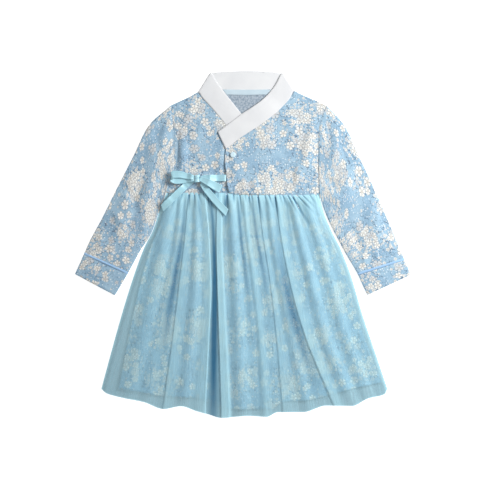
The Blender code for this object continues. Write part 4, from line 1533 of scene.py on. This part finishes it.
def snap():
    turn = np.linspace(0, 2 * math.pi, SNAP_COLUMNS, endpoint=False)
    profile = spline(range(len(SNAP_PROFILE)), [(r.out, r.up) for r in SNAP_PROFILE])
    at = profile(np.linspace(0, len(SNAP_PROFILE) - 1, SNAP_ROWS + 1))
    out = np.maximum(at[:, :1], 0.02) * SNAP_RADIUS
    floor = height_under(SNAP_X, SNAP_Y)
    x = SNAP_X + out * np.cos(turn)[None]
    y = SNAP_Y + out * np.sin(turn)[None]
    z = floor + 0.1 + at[:, 1:] * SNAP_THICKNESS + 0 * x
    middle = np.stack([x, y, z], axis=2)
    flat = np.concatenate([middle, middle[:, :1]], axis=1)[..., :2]
    quads, in_row, in_column = quads_of(len(at), SNAP_COLUMNS, True)
    uvs = flat[in_row, in_column].reshape(-1, 2)
    points, marks = middle.reshape(-1, 3), np.zeros(len(quads))
    made = mesh_object("snap_cap_plastic", points, quads[:, ::-1], uvs, [SNAP], marks, {})
    stands_for(made, "snap_cap")


# The photo's light and view.


def area_light(name, place, size, power):
    light = bpy.data.lights.new(name, "AREA")
    light.size = size
    light.energy = power
    made = new_object(name, light)
    made.location = place
    made.rotation_mode = "QUATERNION"
    made.rotation_quaternion = (-Vector(place)).to_track_quat("-Z", "Y")


# How wide the camera's view of the floor is, where its middle is in the tables, and its height.
VIEW_WIDTH = 800
VIEW_X, VIEW_Y = 11.2, -8
CAMERA_HEIGHT = 2400
# Lights and floor, in metres and watts. The floor is a little below the dress.
LIGHTS = table(
    "name x y z size power",
    ("key", 0.9, 0.45, 0.85, 0.5, 19.2),
    ("fill", -0.7, 0.3, 1.7, 1.4, 2.5),
)
WORLD_LIGHT = 0.34
FLOOR_HALF = 20
FLOOR_Z = -0.0005


def studio():
    bpy.context.scene.view_settings.view_transform = "Standard"
    world = bpy.data.worlds.new("studio")
    bpy.context.scene.world = world
    world.use_nodes = True
    background = world.node_tree.nodes["Background"]
    set_inputs(background, {"Color": (1, 1, 1, 1), "Strength": WORLD_LIGHT})
    for light in LIGHTS:
        area_light(light.name, (light.x, light.y, light.z), light.size, light.power)
    floor_mesh = bpy.data.meshes.new("floor")
    corners = ((-1, -1), (1, -1), (1, 1), (-1, 1))
    points = [(side * FLOOR_HALF, end * FLOOR_HALF, 0) for side, end in corners]
    floor_mesh.from_pydata(points, [], [(0, 1, 2, 3)])
    floor = new_object("floor", floor_mesh)
    floor.location.z = FLOOR_Z
    made, _, shader = material("floor")
    set_inputs(shader, {"Base Color": (0.8, 0.8, 0.8, 1), "Roughness": 0.9})
    set_inputs(shader, {"Emission Color": (1, 1, 1, 1), "Emission Strength": 0.7})
    floor_mesh.materials.append(made)
    camera = bpy.data.cameras.new("camera")
    camera.sensor_width = 36
    camera.lens = camera.sensor_width * CAMERA_HEIGHT / VIEW_WIDTH
    made = new_object("camera", camera)
    made.location = Vector((VIEW_X, VIEW_Y + SHIFT_Y, CAMERA_HEIGHT)) * MM
    bpy.context.scene.camera = made


skirts()
back_bodice()
front_under()
front_over()
sleeves()
cuffs()
collar_band()
neck_tape()
bpy.context.view_layer.update()
bow()
snap()
studio()
bpy.context.view_layer.update()
